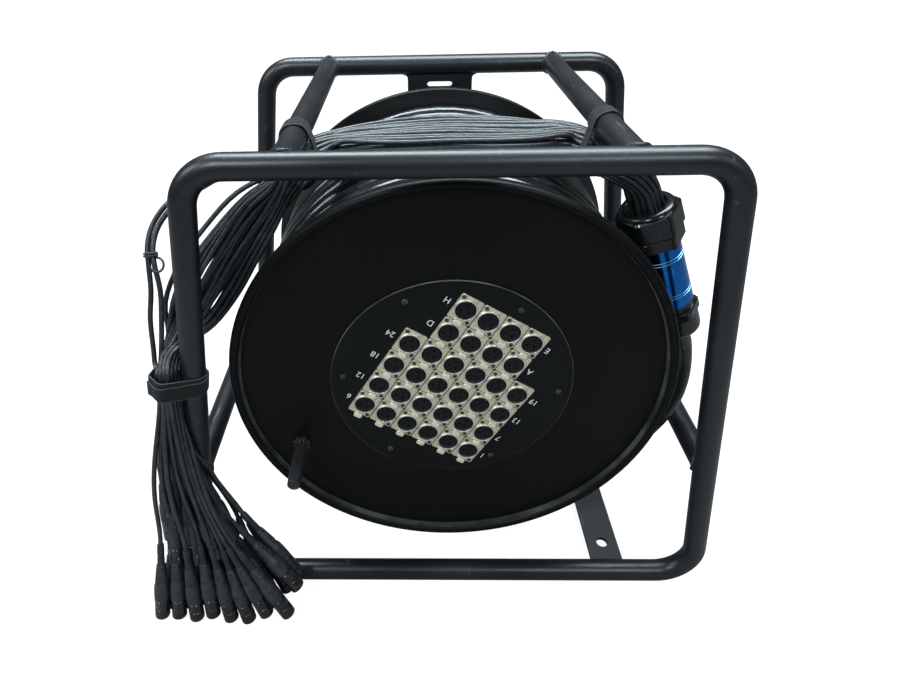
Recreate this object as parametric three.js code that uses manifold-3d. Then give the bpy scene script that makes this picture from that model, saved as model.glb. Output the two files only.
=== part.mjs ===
// A stage box snake on a cable drum, in millimetres: X to the right, Y to the back, Z up, standing on z = 0.
// A tube frame carries a drum on a rear axle. The drum's front flange holds the panel of 32 sockets.
// A splitter on the far end of the wound cable fans it out into 32 tails, each with a plug.

import * as THREE from "three";
import { mergeVertices } from "three/addons/utils/BufferGeometryUtils.js";
import Module from "manifold-3d";

const wasm = await Module();
wasm.setup();

// Fits and cuts
const touchGap = 0.3; // between pieces that touch or are fastened
const turnGap = 0.35; // between pieces that turn or slide on each other
const overrun = 3; // how far a cutting tool runs past what it cuts

// Frame of bent steel tube
const tubeDiameter = 25.4;
const loopTopHalfWidth = 239.3; // tube centre, at the top
const loopBottomHalfWidth = 311.6; // tube centre, at the bottom
const loopHeight = 549.4; // tube centre to tube centre
const loopCornerRadius = 42;
const frameDepth = 386.5; // front loop to rear loop, tube centres
const topBarX = 151.8;
const lowBarRise = 184; // above the bottom tubes
const weldBead = 1.6;
const weldLeg = 5;
const tubeSides = 12;
const cornerSteps = 6;

// Drum, placed from its axis and the front of its socket panel
const axleRise = 293.5; // drum axis above the bottom tubes' centres
const frontLoopLead = 16.9; // front loop's centre plane ahead of the socket panel
const flangeRadius = 237.5;
const flangeThickness = 2;
const flangeSpacing = 305.4; // between the flanges' inner faces
const flangeOpeningRadius = 104;
const beadRadius = 5.2;
const beadLead = 4.8; // bead's centre ahead of the flange's outer face
const beadSteps = 5;
const barrelRadius = 137;
const barrelWall = 2;
const barrelCableHole = 13.5; // radius of the hole that the cable comes in by
const roundSteps = 48;

// Axle, hub and bearing plate
const axleDiameter = 25;
const axleHeadDiameter = 42;
const axleHeadThickness = 8;
const axleStandOut = 3; // behind the bearing plate
const bushDiameter = 36;
const bushCollarDiameter = 52;
const bushCollarThickness = 4;
const hubDiameter = 60;
const hubLength = 190;
const hubStandOut = 14; // behind the rear flange
const hubFlangeDiameter = 130;
const hubFlangeThickness = 6;
const bossDiameter = 58;
const plateWidth = 89;
const plateThickness = 8;
const plateFlare = 6; // how far the weld fillets widen the plate at its ends
const plateCurveSteps = 4;
const slotLength = 35;
const slotWidth = 8;
const slotRise = 229.5; // slot's middle above the drum axis
const turnedSteps = 24;

// Base bar
const baseBarWidth = 40;
const baseBarThickness = 5;
const baseBarX = 208;
const baseBarHoleDiameter = 14.5;
const baseBarHoleY = 38.9; // behind the front tube's centre
const holeSteps = 6;

// Socket panel
const panelRadius = 130;
const panelThickness = 2;
const panelTurn = 2.595; // radians, how far the drum stands turned
const panelScrewPitchRadius = 116.65;
const panelScrewRadius = 3.4;
const panelScrewDome = 1.2;
const panelScrewCount = 6;
const panelScrewSides = 6;
const panelScrewStart = -0.05; // radians
const socketPitchX = 27;
const socketPitchZ = 32;
const socketWidth = 26;
const socketHeight = 31;
const socketPlate = 2;
const socketGridX = -0.74; // middle of the socket grid, from the panel's centre
const socketGridZ = -8.95;
const ringOuterRadius = 12.7;
const ringInnerRadius = 11;
const ringHeight = 1.4;
const insertRadius = 9.4;
const insertRecess = 1.4; // below the ring's top
const grooveDepth = 2.6;
const socketSides = 10;

// Push latch of a socket
const latchWidth = 9.5;
const latchStemStart = 13.3; // above the socket's centre
const latchStemThickness = 1.9;
const latchReach = 6; // from the stem's foot to the lip's end
const latchLip = 1.4;
const latchBevel = 0.5;
const latchTravel = 1.5;
const latchStemDepth = 2.4; // behind the socket plate's face, at rest

// Crank
const crankFromRim = 47.4; // stud's centre in from the flange's rim
const crankAngle = 3.6111; // radians, about the axle
const crankShaftDiameter = 8;
const starNutRadius = 10.8;
const starNutLobes = 8;
const starNutLobeDepth = 2.4;
const starNutThickness = 6;
const starNutSteps = 4; // a lobe
const crankCollarRadius = 8.6;
const crankCollarThickness = 4;
const gripLength = 54;
const gripBaseRadius = 7.9;
const gripEndRadius = 7;
const gripEndWall = 4;
const gripEdge = 1;
const gripSides = 16;

// Wound multicore cable
const cableDiameter = 24;
const layerRadius = 200; // centre of the outer layer
const windingEndGap = 0.6; // between the end turns and the flanges

// Lead from the splitter to the winding: its route between the two, chosen by hand
const leadRoute = [
  [273, 69, -16],
  [273, 63, -38],
  [267, 54, -59],
  [255, 44.5, -77],
  [238, 35, -92],
  [216, 25.5, -108.5],
];
const leadStraight = 13; // out of the gland before the first bend
const straightLead = 2; // how far ahead of a bend its straight is fixed
const leadEndStraight = 48; // before the place where the lead meets the winding
const leadMeetAngle = (-46 * Math.PI) / 180; // of that place, about the axle
const leadWrap = (24 * Math.PI) / 180; // how far the lead lies on the winding
const leadWrapSteps = 4;
const leadSides = 12;
const leadSteps = 30;

// Splitter between the cable and the tails
const splitterTop = [194.6, 60, 181.6];
const splitterBottom = [263.1, 70, 17.9];
const splitterRadius = 24;
const splitterSides = 20;
const glandTopLength = 62;
const glandTopHexLength = 15;
const glandTopHexFlats = 54;
const glandCapLength = 26;
const glandCapFlats = 58;
const glandRingRadius = 28.5;
const glandRingEdge = 6;
const glandBottomLength = 44;
const glandNeckLength = 8;
const glandNeckRadius = 23;
const glandBottomHexLength = 12;
const glandBottomHexFlats = 50;
const glandDomeRadius = 25.5;
const glandDomeEdge = 7;
const glandMouthDepth = 8;
const edgeSteps = 3;
const grooveFromEnd = 17;
const groovePitch = 3.6;
const grooveWidth = 1.4;
const grooveCut = 0.7;

// Tails, gathered into a loom: the middle of its route, the direction in which it is wide, and its half width
// and half thickness, chosen by hand where the straps and the splitter don't fix them
const loomRadius = 19.4; // 32 tails of 6 mm, gathered
const loomSides = 12;
const loomStraight = 12; // each way from the middle of a strap
const loomToRightStrap = [
  [[188.4, 59.1, 196.3], [0, 1, 0], [19.4, 19.4]],
  [[183.7, 57.6, 205.9], [0.2, 0.98, 0], [19.4, 19.4]],
  [[176.4, 55.9, 213.5], [0.4, 0.9, 0], [19.4, 19.4]],
  [[167.4, 57, 218.8], [0.65, 0.75, 0], [18.5, 20.3]],
  [[158.6, 62.5, 221.6], [0.88, 0.5, 0], [18.5, 20.3]],
  [[153.1, 71.2, 222.9], [0.97, 0.25, 0], [19.4, 19.4]],
];
const loomOverDrum = [
  [[150.1, 110.8, 223.6], [0.95, 0.31, 0], [19.8, 18.8]],
  [[145.1, 120.6, 224.6], [0.81, 0.59, 0], [21, 17.6]],
  [[137.4, 128.3, 225.6], [0.59, 0.81, 0], [23, 16]],
  [[127.6, 133.3, 226.6], [0.31, 0.95, 0], [26, 14.4]],
  [[113, 135.5, 227.4], [0.1, 1, 0], [30, 12.8]],
  [[90, 136, 228], [0, 1, 0], [36, 11.2]],
  [[50, 137, 228], [0, 1, 0], [42, 9.8]],
  [[0, 138, 228], [0, 1, 0], [44, 9.4]],
  [[-50, 135, 228], [0, 1, 0], [42, 9.8]],
  [[-88, 129, 227.6], [0, 1, 0], [35, 11.6]],
  [[-111, 123.5, 227], [-0.1, 1, 0], [29, 13]],
  [[-126.5, 118.2, 226.4], [-0.31, 0.95, 0], [25, 15]],
  [[-137, 111.6, 225.5], [-0.59, 0.81, 0], [22.5, 16.4]],
  [[-145.2, 102.6, 224.6], [-0.81, 0.59, 0], [20.6, 18]],
  [[-150.1, 95.4, 223.7], [-0.95, 0.31, 0], [19.6, 19]],
];
const loomToPostStrap = [
  [[-153, 55.2, 222.6], [-0.98, 0.15, 0], [19.4, 19.4]],
  [[-157.5, 45.6, 219.9], [-0.85, 0.45, 0.1], [20, 18.8]],
  [[-164.7, 39.6, 214.2], [-0.7, 0.6, 0.35], [21, 18]],
  [[-175, 36.8, 204.6], [-0.74, 0.3, 0.6], [24, 16.5]],
  [[-192, 36, 187], [-0.72, -0.05, 0.68], [30, 13.8]],
  [[-214, 36.5, 162], [-0.75, -0.3, 0.55], [36, 11.7]],
  [[-236, 34.5, 137], [-0.75, -0.35, 0.5], [34, 12.2]],
  [[-254, 30, 117.5], [-0.78, -0.38, 0.45], [28, 14.5]],
  [[-270, 22, 103], [-0.8, -0.45, 0.3], [22, 17]],
  [[-283, 12, 92], [-0.85, -0.5, 0.1], [19.6, 18.6]],
  [[-293, 0, 82.5], [-0.9, -0.4, 0], [19, 19]],
  [[-299, -12.5, 73], [-1, -0.2, 0], [19.2, 19.2]],
  [[-300, -23, 61.5], [-1, 0, 0], [19.4, 19.4]],
  [[-297, -34, 48.5], [-1, 0, 0], [19.4, 19.4]],
];
const loomHanging = [
  [[-303, -41, -28], [-1, 0, 0], [21, 19.2]],
  [[-301, -47.5, -62], [-1, 0, 0], [28, 18.5]],
  [[-295.5, -52, -105], [-1, 0, 0], [37, 19]],
  [[-290, -57, -150], [-1, 0, 0], [48, 21.5]],
  [[-284.5, -60.5, -195], [-1, 0, 0], [60, 26]],
  [[-281, -61.5, -232], [-1, 0, 0], [71, 30]],
];

// Two tails that bow out past the frame before they join the rest at the post
const pairRoute = [
  [-153, 72, 222],
  [-172, 58, 224],
  [-207, 50, 226],
  [-249, 42, 213],
  [-284, 34, 190],
  [-303, 24, 165],
  [-310, 14, 138],
  [-313, 3, 108],
  [-312, -13, 82],
  [-306, -27, 62],
  [-299, -31, 47],
];
const pairRadius = 5.5;
const pairSides = 6;
const pairSteps = 18;

// Hook-and-loop straps
const strapWidth = 20;
const strapThickness = 1.8;
const strapSlack = 0.8; // between the strap and the loom that it holds
const strapSteps = 7; // each end of the loop
const rightStrapY = 90;
const leftStrapY = 76;
const postStrapRise = 24; // above the drum axis
const postLoomX = -298;
const postLoomY = -35;

// Plugs on the tails: five rows, the first three standing on the floor, the last two hanging above them
const plugLength = 82;
const plugShellRadius = 9.5;
const plugGripRadius = 9.9;
const plugGripEnd = 50; // from the tip
const plugBootStart = 59;
const plugBootRadius = 5.6;
const plugBootEndRadius = 4.5;
const plugSides = 8;
const plugPitch = 20.5;
const plugRowCounts = [8, 7, 7, 5, 5];
const plugRowX = [-279, -279, -268, -283, -272];
const plugRowY = [-77, -60, -43, -70, -50];
const plugRowRise = [0, 0, 0, 88, 104];
const plugRowLean = [14, 6, 1, 6, 2]; // how far a boot's end stands behind its tip
const plugGatherShare = 0.95; // of a row's width, at the boots' ends
const plugFloorGap = 0.2;

// Colours
const paintBlack = "#22262a";
const drumBlack = "#0d0e0f";
const cableBlack = "#1a1c1e";
const tailBlack = "#26282a";
const nylonBlack = "#1b1d1f";
const strapBlack = "#202326";
const nickel = "#a8a294";
const paleNickel = "#cfcab8";
const steel = "#8d9094";
const bronze = "#9a7a44";
const anodisedBlue = "#1a5fae";

// Worked out from the above
const tubeRadius = tubeDiameter / 2;
const cableRadius = cableDiameter / 2;
const axleRadius = axleDiameter / 2;
const axleHeight = axleRise + tubeRadius;
const floorZ = -axleHeight;
const bottomTubeZ = -axleRise;
const topTubeZ = loopHeight - axleRise;
const sideSlope = (loopBottomHalfWidth - loopTopHalfWidth) / loopHeight;
const sideAngle = Math.atan(sideSlope);
const frontLoopY = -frontLoopLead;
const rearLoopY = frameDepth - frontLoopLead;
const flangeFrontY = panelThickness + touchGap;
const innerFrontY = flangeFrontY + flangeThickness;
const innerRearY = innerFrontY + flangeSpacing;
const plateFrontY = rearLoopY - plateThickness / 2;
const plateRearY = rearLoopY + plateThickness / 2;
const crankX = (flangeRadius - crankFromRim) * Math.cos(crankAngle);
const crankZ = (flangeRadius - crankFromRim) * Math.sin(crankAngle);
const crankFootY = flangeFrontY - touchGap;
const gripBackY = crankFootY - starNutThickness - crankCollarThickness - turnGap;
const gripFrontY = gripBackY - gripLength;
const middleY = (gripFrontY + rearLoopY + tubeRadius) / 2;
const loomBarZ = topTubeZ - tubeRadius - touchGap - loomRadius;
const postStrapX = -sideTubeX(postStrapRise);
const postDown = new THREE.Vector3(-Math.sin(sideAngle), 0, -Math.cos(sideAngle));
const postLoomMiddle = new THREE.Vector3(postLoomX, postLoomY, postStrapRise);

// Half width of a loop's side, tube centre, at a height from the drum axis
function sideTubeX(z) {
  return loopTopHalfWidth + (topTubeZ - z) * sideSlope;
}

function finish(color, roughness, metalness) {
  return new THREE.MeshStandardMaterial({ color, roughness, metalness });
}

function place(parent, name, geometry, material) {
  const mesh = new THREE.Mesh(geometry, material);
  mesh.name = name;
  parent.add(mesh);
  return mesh;
}

function solid(geometry) {
  const bare = geometry.clone();
  bare.deleteAttribute("normal");
  bare.deleteAttribute("uv");
  const merged = mergeVertices(bare);
  const vertProperties = new Float32Array(merged.getAttribute("position").array);
  const triVerts = new Uint32Array(merged.getIndex().array);
  return new wasm.Manifold(new wasm.Mesh({ numProp: 3, vertProperties, triVerts }));
}

function shell(manifold) {
  const mesh = manifold.getMesh();
  const geometry = new THREE.BufferGeometry();
  geometry.setAttribute("position", new THREE.BufferAttribute(mesh.vertProperties, 3));
  geometry.setIndex(new THREE.BufferAttribute(mesh.triVerts, 1));
  geometry.computeVertexNormals();
  return geometry;
}

function join(first, ...others) {
  let whole = solid(first);
  for (const other of others) {
    whole = whole.add(solid(other));
  }
  return shell(whole);
}

function cut(first, ...others) {
  let whole = solid(first);
  for (const other of others) {
    whole = whole.subtract(solid(other));
  }
  return shell(whole);
}

// A bar along Y whose flat facets lie at the given radius, from one place along Y to another
function barAlongY(radius, fromY, toY, sides) {
  const corner = radius / Math.cos(Math.PI / sides);
  const bar = new THREE.CylinderGeometry(corner, corner, toY - fromY, sides, 1, false, Math.PI / sides);
  return bar.translate(0, (fromY + toY) / 2, 0);
}

// Turned about the Y axis: pairs of radius and place along Y, from the axis back to the axis
function turned(pairs, steps) {
  return new THREE.LatheGeometry(
    pairs.map(([radius, along]) => new THREE.Vector2(radius, along)),
    steps,
  );
}

// Turned about the Y axis round a hole: the outline closes on itself
function turnedRing(pairs, steps) {
  return turned([...pairs, pairs[0]], steps);
}

// A quarter round on a turned outline, from one angle to another about its centre
function roundEdge(radius, along, edge, fromAngle, toAngle, steps) {
  const pairs = [];
  for (let k = 0; k <= steps; k += 1) {
    const angle = fromAngle + ((toAngle - fromAngle) * k) / steps;
    pairs.push([radius + edge * Math.cos(angle), along + edge * Math.sin(angle)]);
  }
  return pairs;
}

// An outline in the XZ plane, made into a plate from y = 0 to y = thickness
function plateFrom(shape, thickness, curveSegments) {
  const plate = new THREE.ExtrudeGeometry(shape, { depth: thickness, bevelEnabled: false, curveSegments });
  plate.rotateX(Math.PI / 2);
  plate.translate(0, thickness, 0);
  return plate;
}

// Rings of points, each joined to the next, with the ends capped or the last ring joined to the first
function skin(rings, closed) {
  const sides = rings[0].length;
  const faces = [];
  const bands = closed ? rings.length : rings.length - 1;
  for (let i = 0; i < bands; i += 1) {
    const here = i * sides;
    const next = ((i + 1) % rings.length) * sides;
    for (let k = 0; k < sides; k += 1) {
      const after = (k + 1) % sides;
      faces.push(here + k, here + after, next + after);
      faces.push(here + k, next + after, next + k);
    }
  }
  if (!closed) {
    const end = (rings.length - 1) * sides;
    for (let k = 1; k < sides - 1; k += 1) {
      faces.push(0, k + 1, k);
      faces.push(end, end + k, end + k + 1);
    }
  }
  const geometry = new THREE.BufferGeometry();
  const positions = rings.flat().flatMap((p) => [p.x, p.y, p.z]);
  geometry.setAttribute("position", new THREE.Float32BufferAttribute(positions, 3));
  geometry.setIndex(faces);
  geometry.computeVertexNormals();
  return geometry;
}

// An ellipse of points round a centre, turned by a share of a side
function ellipse(centre, across, over, halfAcross, halfOver, sides, turnShare) {
  const ring = [];
  for (let k = 0; k < sides; k += 1) {
    const angle = ((k + turnShare) * Math.PI * 2) / sides;
    const point = centre.clone();
    point.addScaledVector(across, halfAcross * Math.cos(angle));
    point.addScaledVector(over, halfOver * Math.sin(angle));
    ring.push(point);
  }
  return ring;
}

// A tube along a smooth open route
function tubeAlong(points, radius, sides, steps) {
  const section = new THREE.Shape();
  for (let k = 0; k < sides; k += 1) {
    const angle = (k * Math.PI * 2) / sides;
    const x = radius * Math.cos(angle);
    const y = radius * Math.sin(angle);
    if (k === 0) section.moveTo(x, y);
    else section.lineTo(x, y);
  }
  const extrudePath = new THREE.CatmullRomCurve3(points);
  return new THREE.ExtrudeGeometry(section, { steps, bevelEnabled: false, extrudePath });
}

// A bundle through its stations: the middle, the direction in which it is wide, and its half sizes
function bundle(stations, sides) {
  const route = new THREE.CatmullRomCurve3(stations.map(([middle]) => middle));
  const rings = stations.map(([middle, wide, half], i) => {
    const along = route.getTangent(i / (stations.length - 1));
    const across = wide.clone().addScaledVector(along, -wide.dot(along)).normalize();
    const over = new THREE.Vector3().crossVectors(along, across);
    return ellipse(middle, across, over, half[0], half[1], sides, 0);
  });
  return skin(rings, false);
}

function station([point, wide, half]) {
  return [new THREE.Vector3(...point), new THREE.Vector3(...wide).normalize(), half];
}

// One bent loop of tube, a rounded trapezoid in the XZ plane
function loopTube() {
  const corners = [
    new THREE.Vector2(-loopBottomHalfWidth, bottomTubeZ),
    new THREE.Vector2(loopBottomHalfWidth, bottomTubeZ),
    new THREE.Vector2(loopTopHalfWidth, topTubeZ),
    new THREE.Vector2(-loopTopHalfWidth, topTubeZ),
  ];
  const section = tubeRadius / Math.cos(Math.PI / tubeSides);
  const depth = new THREE.Vector3(0, 1, 0);
  const rings = [];
  corners.forEach((corner, i) => {
    const before = corner.clone().sub(corners.at(i - 1)).normalize();
    const after = corners[(i + 1) % corners.length].clone().sub(corner).normalize();
    const outBefore = new THREE.Vector2(before.y, -before.x);
    const outAfter = new THREE.Vector2(after.y, -after.x);
    const inward = loopCornerRadius / (1 + outBefore.dot(outAfter));
    const centre = corner.clone().addScaledVector(outBefore.clone().add(outAfter), -inward);
    const start = Math.atan2(outBefore.y, outBefore.x);
    const sweep = Math.acos(outBefore.dot(outAfter));
    for (let k = 0; k <= cornerSteps; k += 1) {
      const angle = start + (sweep * k) / cornerSteps;
      const out = new THREE.Vector3(Math.cos(angle), 0, Math.sin(angle));
      const middle = new THREE.Vector3(centre.x, 0, centre.y).addScaledVector(out, loopCornerRadius);
      rings.push(ellipse(middle, out, depth, section, section, tubeSides, 1 / 2));
    }
  });
  return skin(rings, true);
}

// A stretch of loop tube, fattened by a gap: the tool that copes what is welded to it. It stands upright
// and leans towards X.
function copeTool(x, y, z, lean) {
  const tool = barAlongY(tubeRadius + touchGap, -frameDepth / 2, frameDepth / 2, tubeSides);
  tool.rotateX(Math.PI / 2);
  tool.rotateY(lean);
  return tool.translate(x, y, z);
}

// A straight tube between the two loops, coped to them, with a weld fillet at each end
function crossbar(x, z, lean) {
  const corner = tubeRadius / Math.cos(Math.PI / tubeSides);
  const filletLength = tubeRadius + weldLeg;
  const fillet = new THREE.CylinderGeometry(
    corner,
    corner + weldBead,
    filletLength,
    tubeSides,
    1,
    false,
    Math.PI / tubeSides,
  );
  const frontFillet = fillet.clone().translate(0, frontLoopY + filletLength / 2, 0);
  const rearFillet = fillet.clone().rotateX(Math.PI).translate(0, rearLoopY - filletLength / 2, 0);
  const bar = join(barAlongY(tubeRadius, frontLoopY, rearLoopY, tubeSides), frontFillet, rearFillet);
  bar.translate(x, 0, z);
  return cut(bar, copeTool(x, frontLoopY, z, lean), copeTool(x, rearLoopY, z, lean));
}

function buildFrame(parent) {
  const paint = finish(paintBlack, 0.45, 0.5);
  const lowBarZ = bottomTubeZ + lowBarRise;
  const lowBarX = sideTubeX(lowBarZ);
  place(parent, "front_loop", loopTube(), paint.clone()).position.y = frontLoopY;
  place(parent, "rear_loop", loopTube(), paint.clone()).position.y = rearLoopY;
  place(parent, "top_crossbar_left", crossbar(-topBarX, topTubeZ, Math.PI / 2), paint.clone());
  place(parent, "top_crossbar_right", crossbar(topBarX, topTubeZ, Math.PI / 2), paint.clone());
  place(parent, "bottom_crossbar_left", crossbar(-lowBarX, lowBarZ, sideAngle), paint.clone());
  place(parent, "bottom_crossbar_right", crossbar(lowBarX, lowBarZ, -sideAngle), paint.clone());
}

// The upright plate on the rear loop, with the boss that the axle screws into
function bearingPlate() {
  const half = plateWidth / 2;
  const low = bottomTubeZ + tubeRadius + touchGap;
  const high = topTubeZ - tubeRadius - touchGap;
  const outline = new THREE.Shape();
  outline.moveTo(-half - plateFlare, low);
  outline.lineTo(half + plateFlare, low);
  outline.quadraticCurveTo(half, low, half, low + plateFlare);
  outline.lineTo(half, high - plateFlare);
  outline.quadraticCurveTo(half, high, half + plateFlare, high);
  outline.lineTo(-half - plateFlare, high);
  outline.quadraticCurveTo(-half, high, -half, high - plateFlare);
  outline.lineTo(-half, low + plateFlare);
  outline.quadraticCurveTo(-half, low, -half - plateFlare, low);
  const slotEnd = slotLength / 2 - slotWidth / 2;
  const slot = new THREE.Path();
  slot.absarc(slotEnd, slotRise, slotWidth / 2, -Math.PI / 2, Math.PI / 2, false);
  slot.absarc(-slotEnd, slotRise, slotWidth / 2, Math.PI / 2, (Math.PI * 3) / 2, false);
  outline.holes.push(slot);
  const plate = plateFrom(outline, plateThickness, plateCurveSteps).translate(0, plateFrontY, 0);
  const bossFrontY = innerRearY + flangeThickness + hubStandOut + touchGap + bushCollarThickness + turnGap;
  const boss = barAlongY(bossDiameter / 2, bossFrontY, rearLoopY, turnedSteps);
  const bore = barAlongY(axleRadius + touchGap, bossFrontY - overrun, plateRearY + overrun, turnedSteps);
  return cut(join(plate, boss), bore);
}

// The flat bar between the bottom tubes, with the hole that fixes the frame down
function baseBar() {
  const outline = new THREE.Shape();
  const half = baseBarWidth / 2;
  outline.moveTo(-half, frontLoopY);
  outline.lineTo(half, frontLoopY);
  outline.lineTo(half, rearLoopY);
  outline.lineTo(-half, rearLoopY);
  outline.closePath();
  const hole = new THREE.Path();
  hole.absarc(0, frontLoopY + baseBarHoleY, baseBarHoleDiameter / 2, 0, Math.PI * 2, true);
  outline.holes.push(hole);
  const bar = new THREE.ExtrudeGeometry(outline, {
    depth: baseBarThickness,
    bevelEnabled: false,
    curveSegments: holeSteps,
  });
  bar.translate(baseBarX, 0, bottomTubeZ - baseBarThickness / 2);
  const tools = [frontLoopY, rearLoopY].map((y) => copeTool(baseBarX, y, bottomTubeZ, Math.PI / 2));
  return cut(bar, ...tools);
}

// The bolt that the drum turns on, headed inside the drum and screwed into the bearing plate
function axle() {
  const headBackY = innerRearY + flangeThickness + hubStandOut - hubLength - turnGap;
  const tailY = plateRearY + axleStandOut;
  return turned(
    [
      [0, headBackY - axleHeadThickness],
      [axleHeadDiameter / 2, headBackY - axleHeadThickness],
      [axleHeadDiameter / 2, headBackY],
      [axleRadius, headBackY],
      [axleRadius, tailY],
      [0, tailY],
    ],
    turnedSteps,
  );
}

function buildStand(parent) {
  const paint = finish(paintBlack, 0.45, 0.5);
  place(parent, "bearing_plate", bearingPlate(), paint.clone());
  place(parent, "base_bar", baseBar(), paint.clone());
  place(parent, "axle", axle(), finish(steel, 0.35, 0.9));
}

// The tube that the drum's rear flange is bolted to, and that holds the bush
function drumHub() {
  const rearY = innerRearY + flangeThickness + hubStandOut;
  const frontY = rearY - hubLength;
  const flangeBackY = innerRearY - touchGap;
  const bore = bushDiameter / 2 + touchGap;
  return turnedRing(
    [
      [bore, frontY],
      [hubDiameter / 2, frontY],
      [hubDiameter / 2, flangeBackY - hubFlangeThickness],
      [hubFlangeDiameter / 2, flangeBackY - hubFlangeThickness],
      [hubFlangeDiameter / 2, flangeBackY],
      [hubDiameter / 2, flangeBackY],
      [hubDiameter / 2, rearY],
      [bore, rearY],
    ],
    turnedSteps,
  );
}

// The bronze liner of the hub, whose collar takes the drum's push against the boss
function hubBush() {
  const rearY = innerRearY + flangeThickness + hubStandOut;
  const frontY = rearY - hubLength;
  const bore = (axleRadius + turnGap) / Math.cos(Math.PI / turnedSteps);
  return turnedRing(
    [
      [bore, frontY],
      [bushDiameter / 2, frontY],
      [bushDiameter / 2, rearY + touchGap],
      [bushCollarDiameter / 2, rearY + touchGap],
      [bushCollarDiameter / 2, rearY + touchGap + bushCollarThickness],
      [bore, rearY + touchGap + bushCollarThickness],
    ],
    turnedSteps,
  );
}

// A spun steel disc with a hole and a rolled bead round its rim. Its outer face, which the bead stands
// ahead of, looks to -Y at y = 0.
function flange(holeRadius) {
  const beadMiddle = flangeRadius - beadRadius;
  return turnedRing(
    [
      [holeRadius, flangeThickness],
      [holeRadius, 0],
      [beadMiddle - beadRadius, 0],
      ...roundEdge(beadMiddle, -beadLead, beadRadius, -Math.PI, 0, beadSteps),
      [flangeRadius, 0],
      [flangeRadius - flangeThickness, flangeThickness],
    ],
    roundSteps,
  );
}

function frontFlange() {
  const disc = flange(flangeOpeningRadius).translate(0, flangeFrontY, 0);
  const hole = barAlongY(
    crankShaftDiameter / 2 + touchGap,
    flangeFrontY - overrun,
    innerFrontY + overrun,
    gripSides / 2,
  );
  return cut(disc, hole.translate(crankX, 0, crankZ));
}

function rearFlange() {
  const disc = flange(hubDiameter / 2 + touchGap);
  return disc.rotateX(Math.PI).translate(0, innerRearY + flangeThickness, 0);
}

// The drum's core tube, with the hole that the cable comes in by
function drumBarrel() {
  const frontY = innerFrontY + touchGap;
  const rearY = innerRearY - touchGap;
  const tube = turnedRing(
    [
      [barrelRadius - barrelWall, frontY],
      [barrelRadius, frontY],
      [barrelRadius, rearY],
      [barrelRadius - barrelWall, rearY],
    ],
    roundSteps,
  );
  const hole = barAlongY(barrelCableHole, barrelRadius / 2, barrelRadius + overrun, turnedSteps / 2);
  hole.rotateX(Math.PI / 2);
  return cut(tube, hole.translate(0, rearY - cableDiameter, 0));
}

// Layers of the wound cable, as one plain sleeve between two radii
function cableSleeve(inner, outer) {
  const frontY = innerFrontY + windingEndGap;
  const rearY = innerRearY - windingEndGap;
  const bore = inner / Math.cos(Math.PI / roundSteps);
  return turnedRing(
    [
      [bore, frontY],
      [outer, frontY],
      [outer, rearY],
      [bore, rearY],
    ],
    roundSteps,
  );
}

// The places of the sockets on the panel, with the name that each one's tail and label share: six across in
// the four rows of numbers, and four across in the two rows of letters
function socketPlaces() {
  const places = [];
  const columns = 6;
  const rows = 6;
  const numberRows = 4;
  const letterColumns = [1, 2, 3, 4];
  const letters = ["a", "b", "c", "d", "e", "f", "g", "h"];
  for (let row = 0; row < rows; row += 1) {
    for (let column = 0; column < columns; column += 1) {
      const inLetters = row >= numberRows;
      if (inLetters && !letterColumns.includes(column)) continue;
      const number = String(row * columns + column + 1).padStart(2, "0");
      const letter = letters[(row - numberRows) * letterColumns.length + column - 1];
      places.push({
        name: inLetters ? letter : number,
        x: socketGridX + (column - (columns - 1) / 2) * socketPitchX,
        z: socketGridZ + ((rows - 1) / 2 - row) * socketPitchZ,
      });
    }
  }
  return places;
}

// A plain box from its low corner to its high corner
function block(low, high) {
  const size = high.map((value, i) => value - low[i]);
  const box = new THREE.BoxGeometry(...size);
  return box.translate(...high.map((value, i) => (value + low[i]) / 2));
}

// The disc that closes the drum's front, with the bodies of the sockets that are screwed to it
function socketPanel() {
  const disc = turned(
    [
      [0, 0],
      [panelRadius, 0],
      [panelRadius, panelThickness],
      [0, panelThickness],
    ],
    roundSteps,
  );
  const ringTopY = -socketPlate - ringHeight;
  const insertY = ringTopY + insertRecess;
  const plate = block(
    [-socketWidth / 2, -socketPlate, -socketHeight / 2],
    [socketWidth / 2, panelThickness / 2, socketHeight / 2],
  );
  const ring = turned(
    [
      [0, ringTopY],
      [ringOuterRadius, ringTopY],
      [ringOuterRadius, panelThickness / 2],
      [0, panelThickness / 2],
    ],
    socketSides,
  );
  const mouth = turned(
    [
      [0, ringTopY - overrun],
      [ringInnerRadius, ringTopY - overrun],
      [ringInnerRadius, insertY + grooveDepth],
      [insertRadius, insertY + grooveDepth],
      [insertRadius, insertY],
      [0, insertY],
    ],
    socketSides,
  );
  const notch = block(
    [-latchWidth / 2 - turnGap, -socketPlate - overrun, latchStemStart - turnGap],
    [latchWidth / 2 + turnGap, panelThickness + overrun, latchStemStart + latchStemThickness + turnGap],
  );
  const screw = turned(
    [
      [0, -panelScrewDome],
      [panelScrewRadius / 2, -panelScrewDome],
      [panelScrewRadius, 0],
      [panelScrewRadius, panelThickness / 2],
      [0, panelThickness / 2],
    ],
    panelScrewSides,
  );
  const places = socketPlaces();
  const added = places.flatMap(({ x, z }) => [plate.clone().translate(x, 0, z), ring.clone().translate(x, 0, z)]);
  for (let k = 0; k < panelScrewCount; k += 1) {
    const angle = panelScrewStart + (k * Math.PI * 2) / panelScrewCount + panelTurn;
    const x = panelScrewPitchRadius * Math.cos(angle);
    const z = panelScrewPitchRadius * Math.sin(angle);
    added.push(screw.clone().translate(x, 0, z));
  }
  const taken = places.flatMap(({ x, z }) => [mouth.clone().translate(x, 0, z), notch.clone().translate(x, 0, z)]);
  return cut(join(disc, ...added), ...taken);
}

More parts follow.
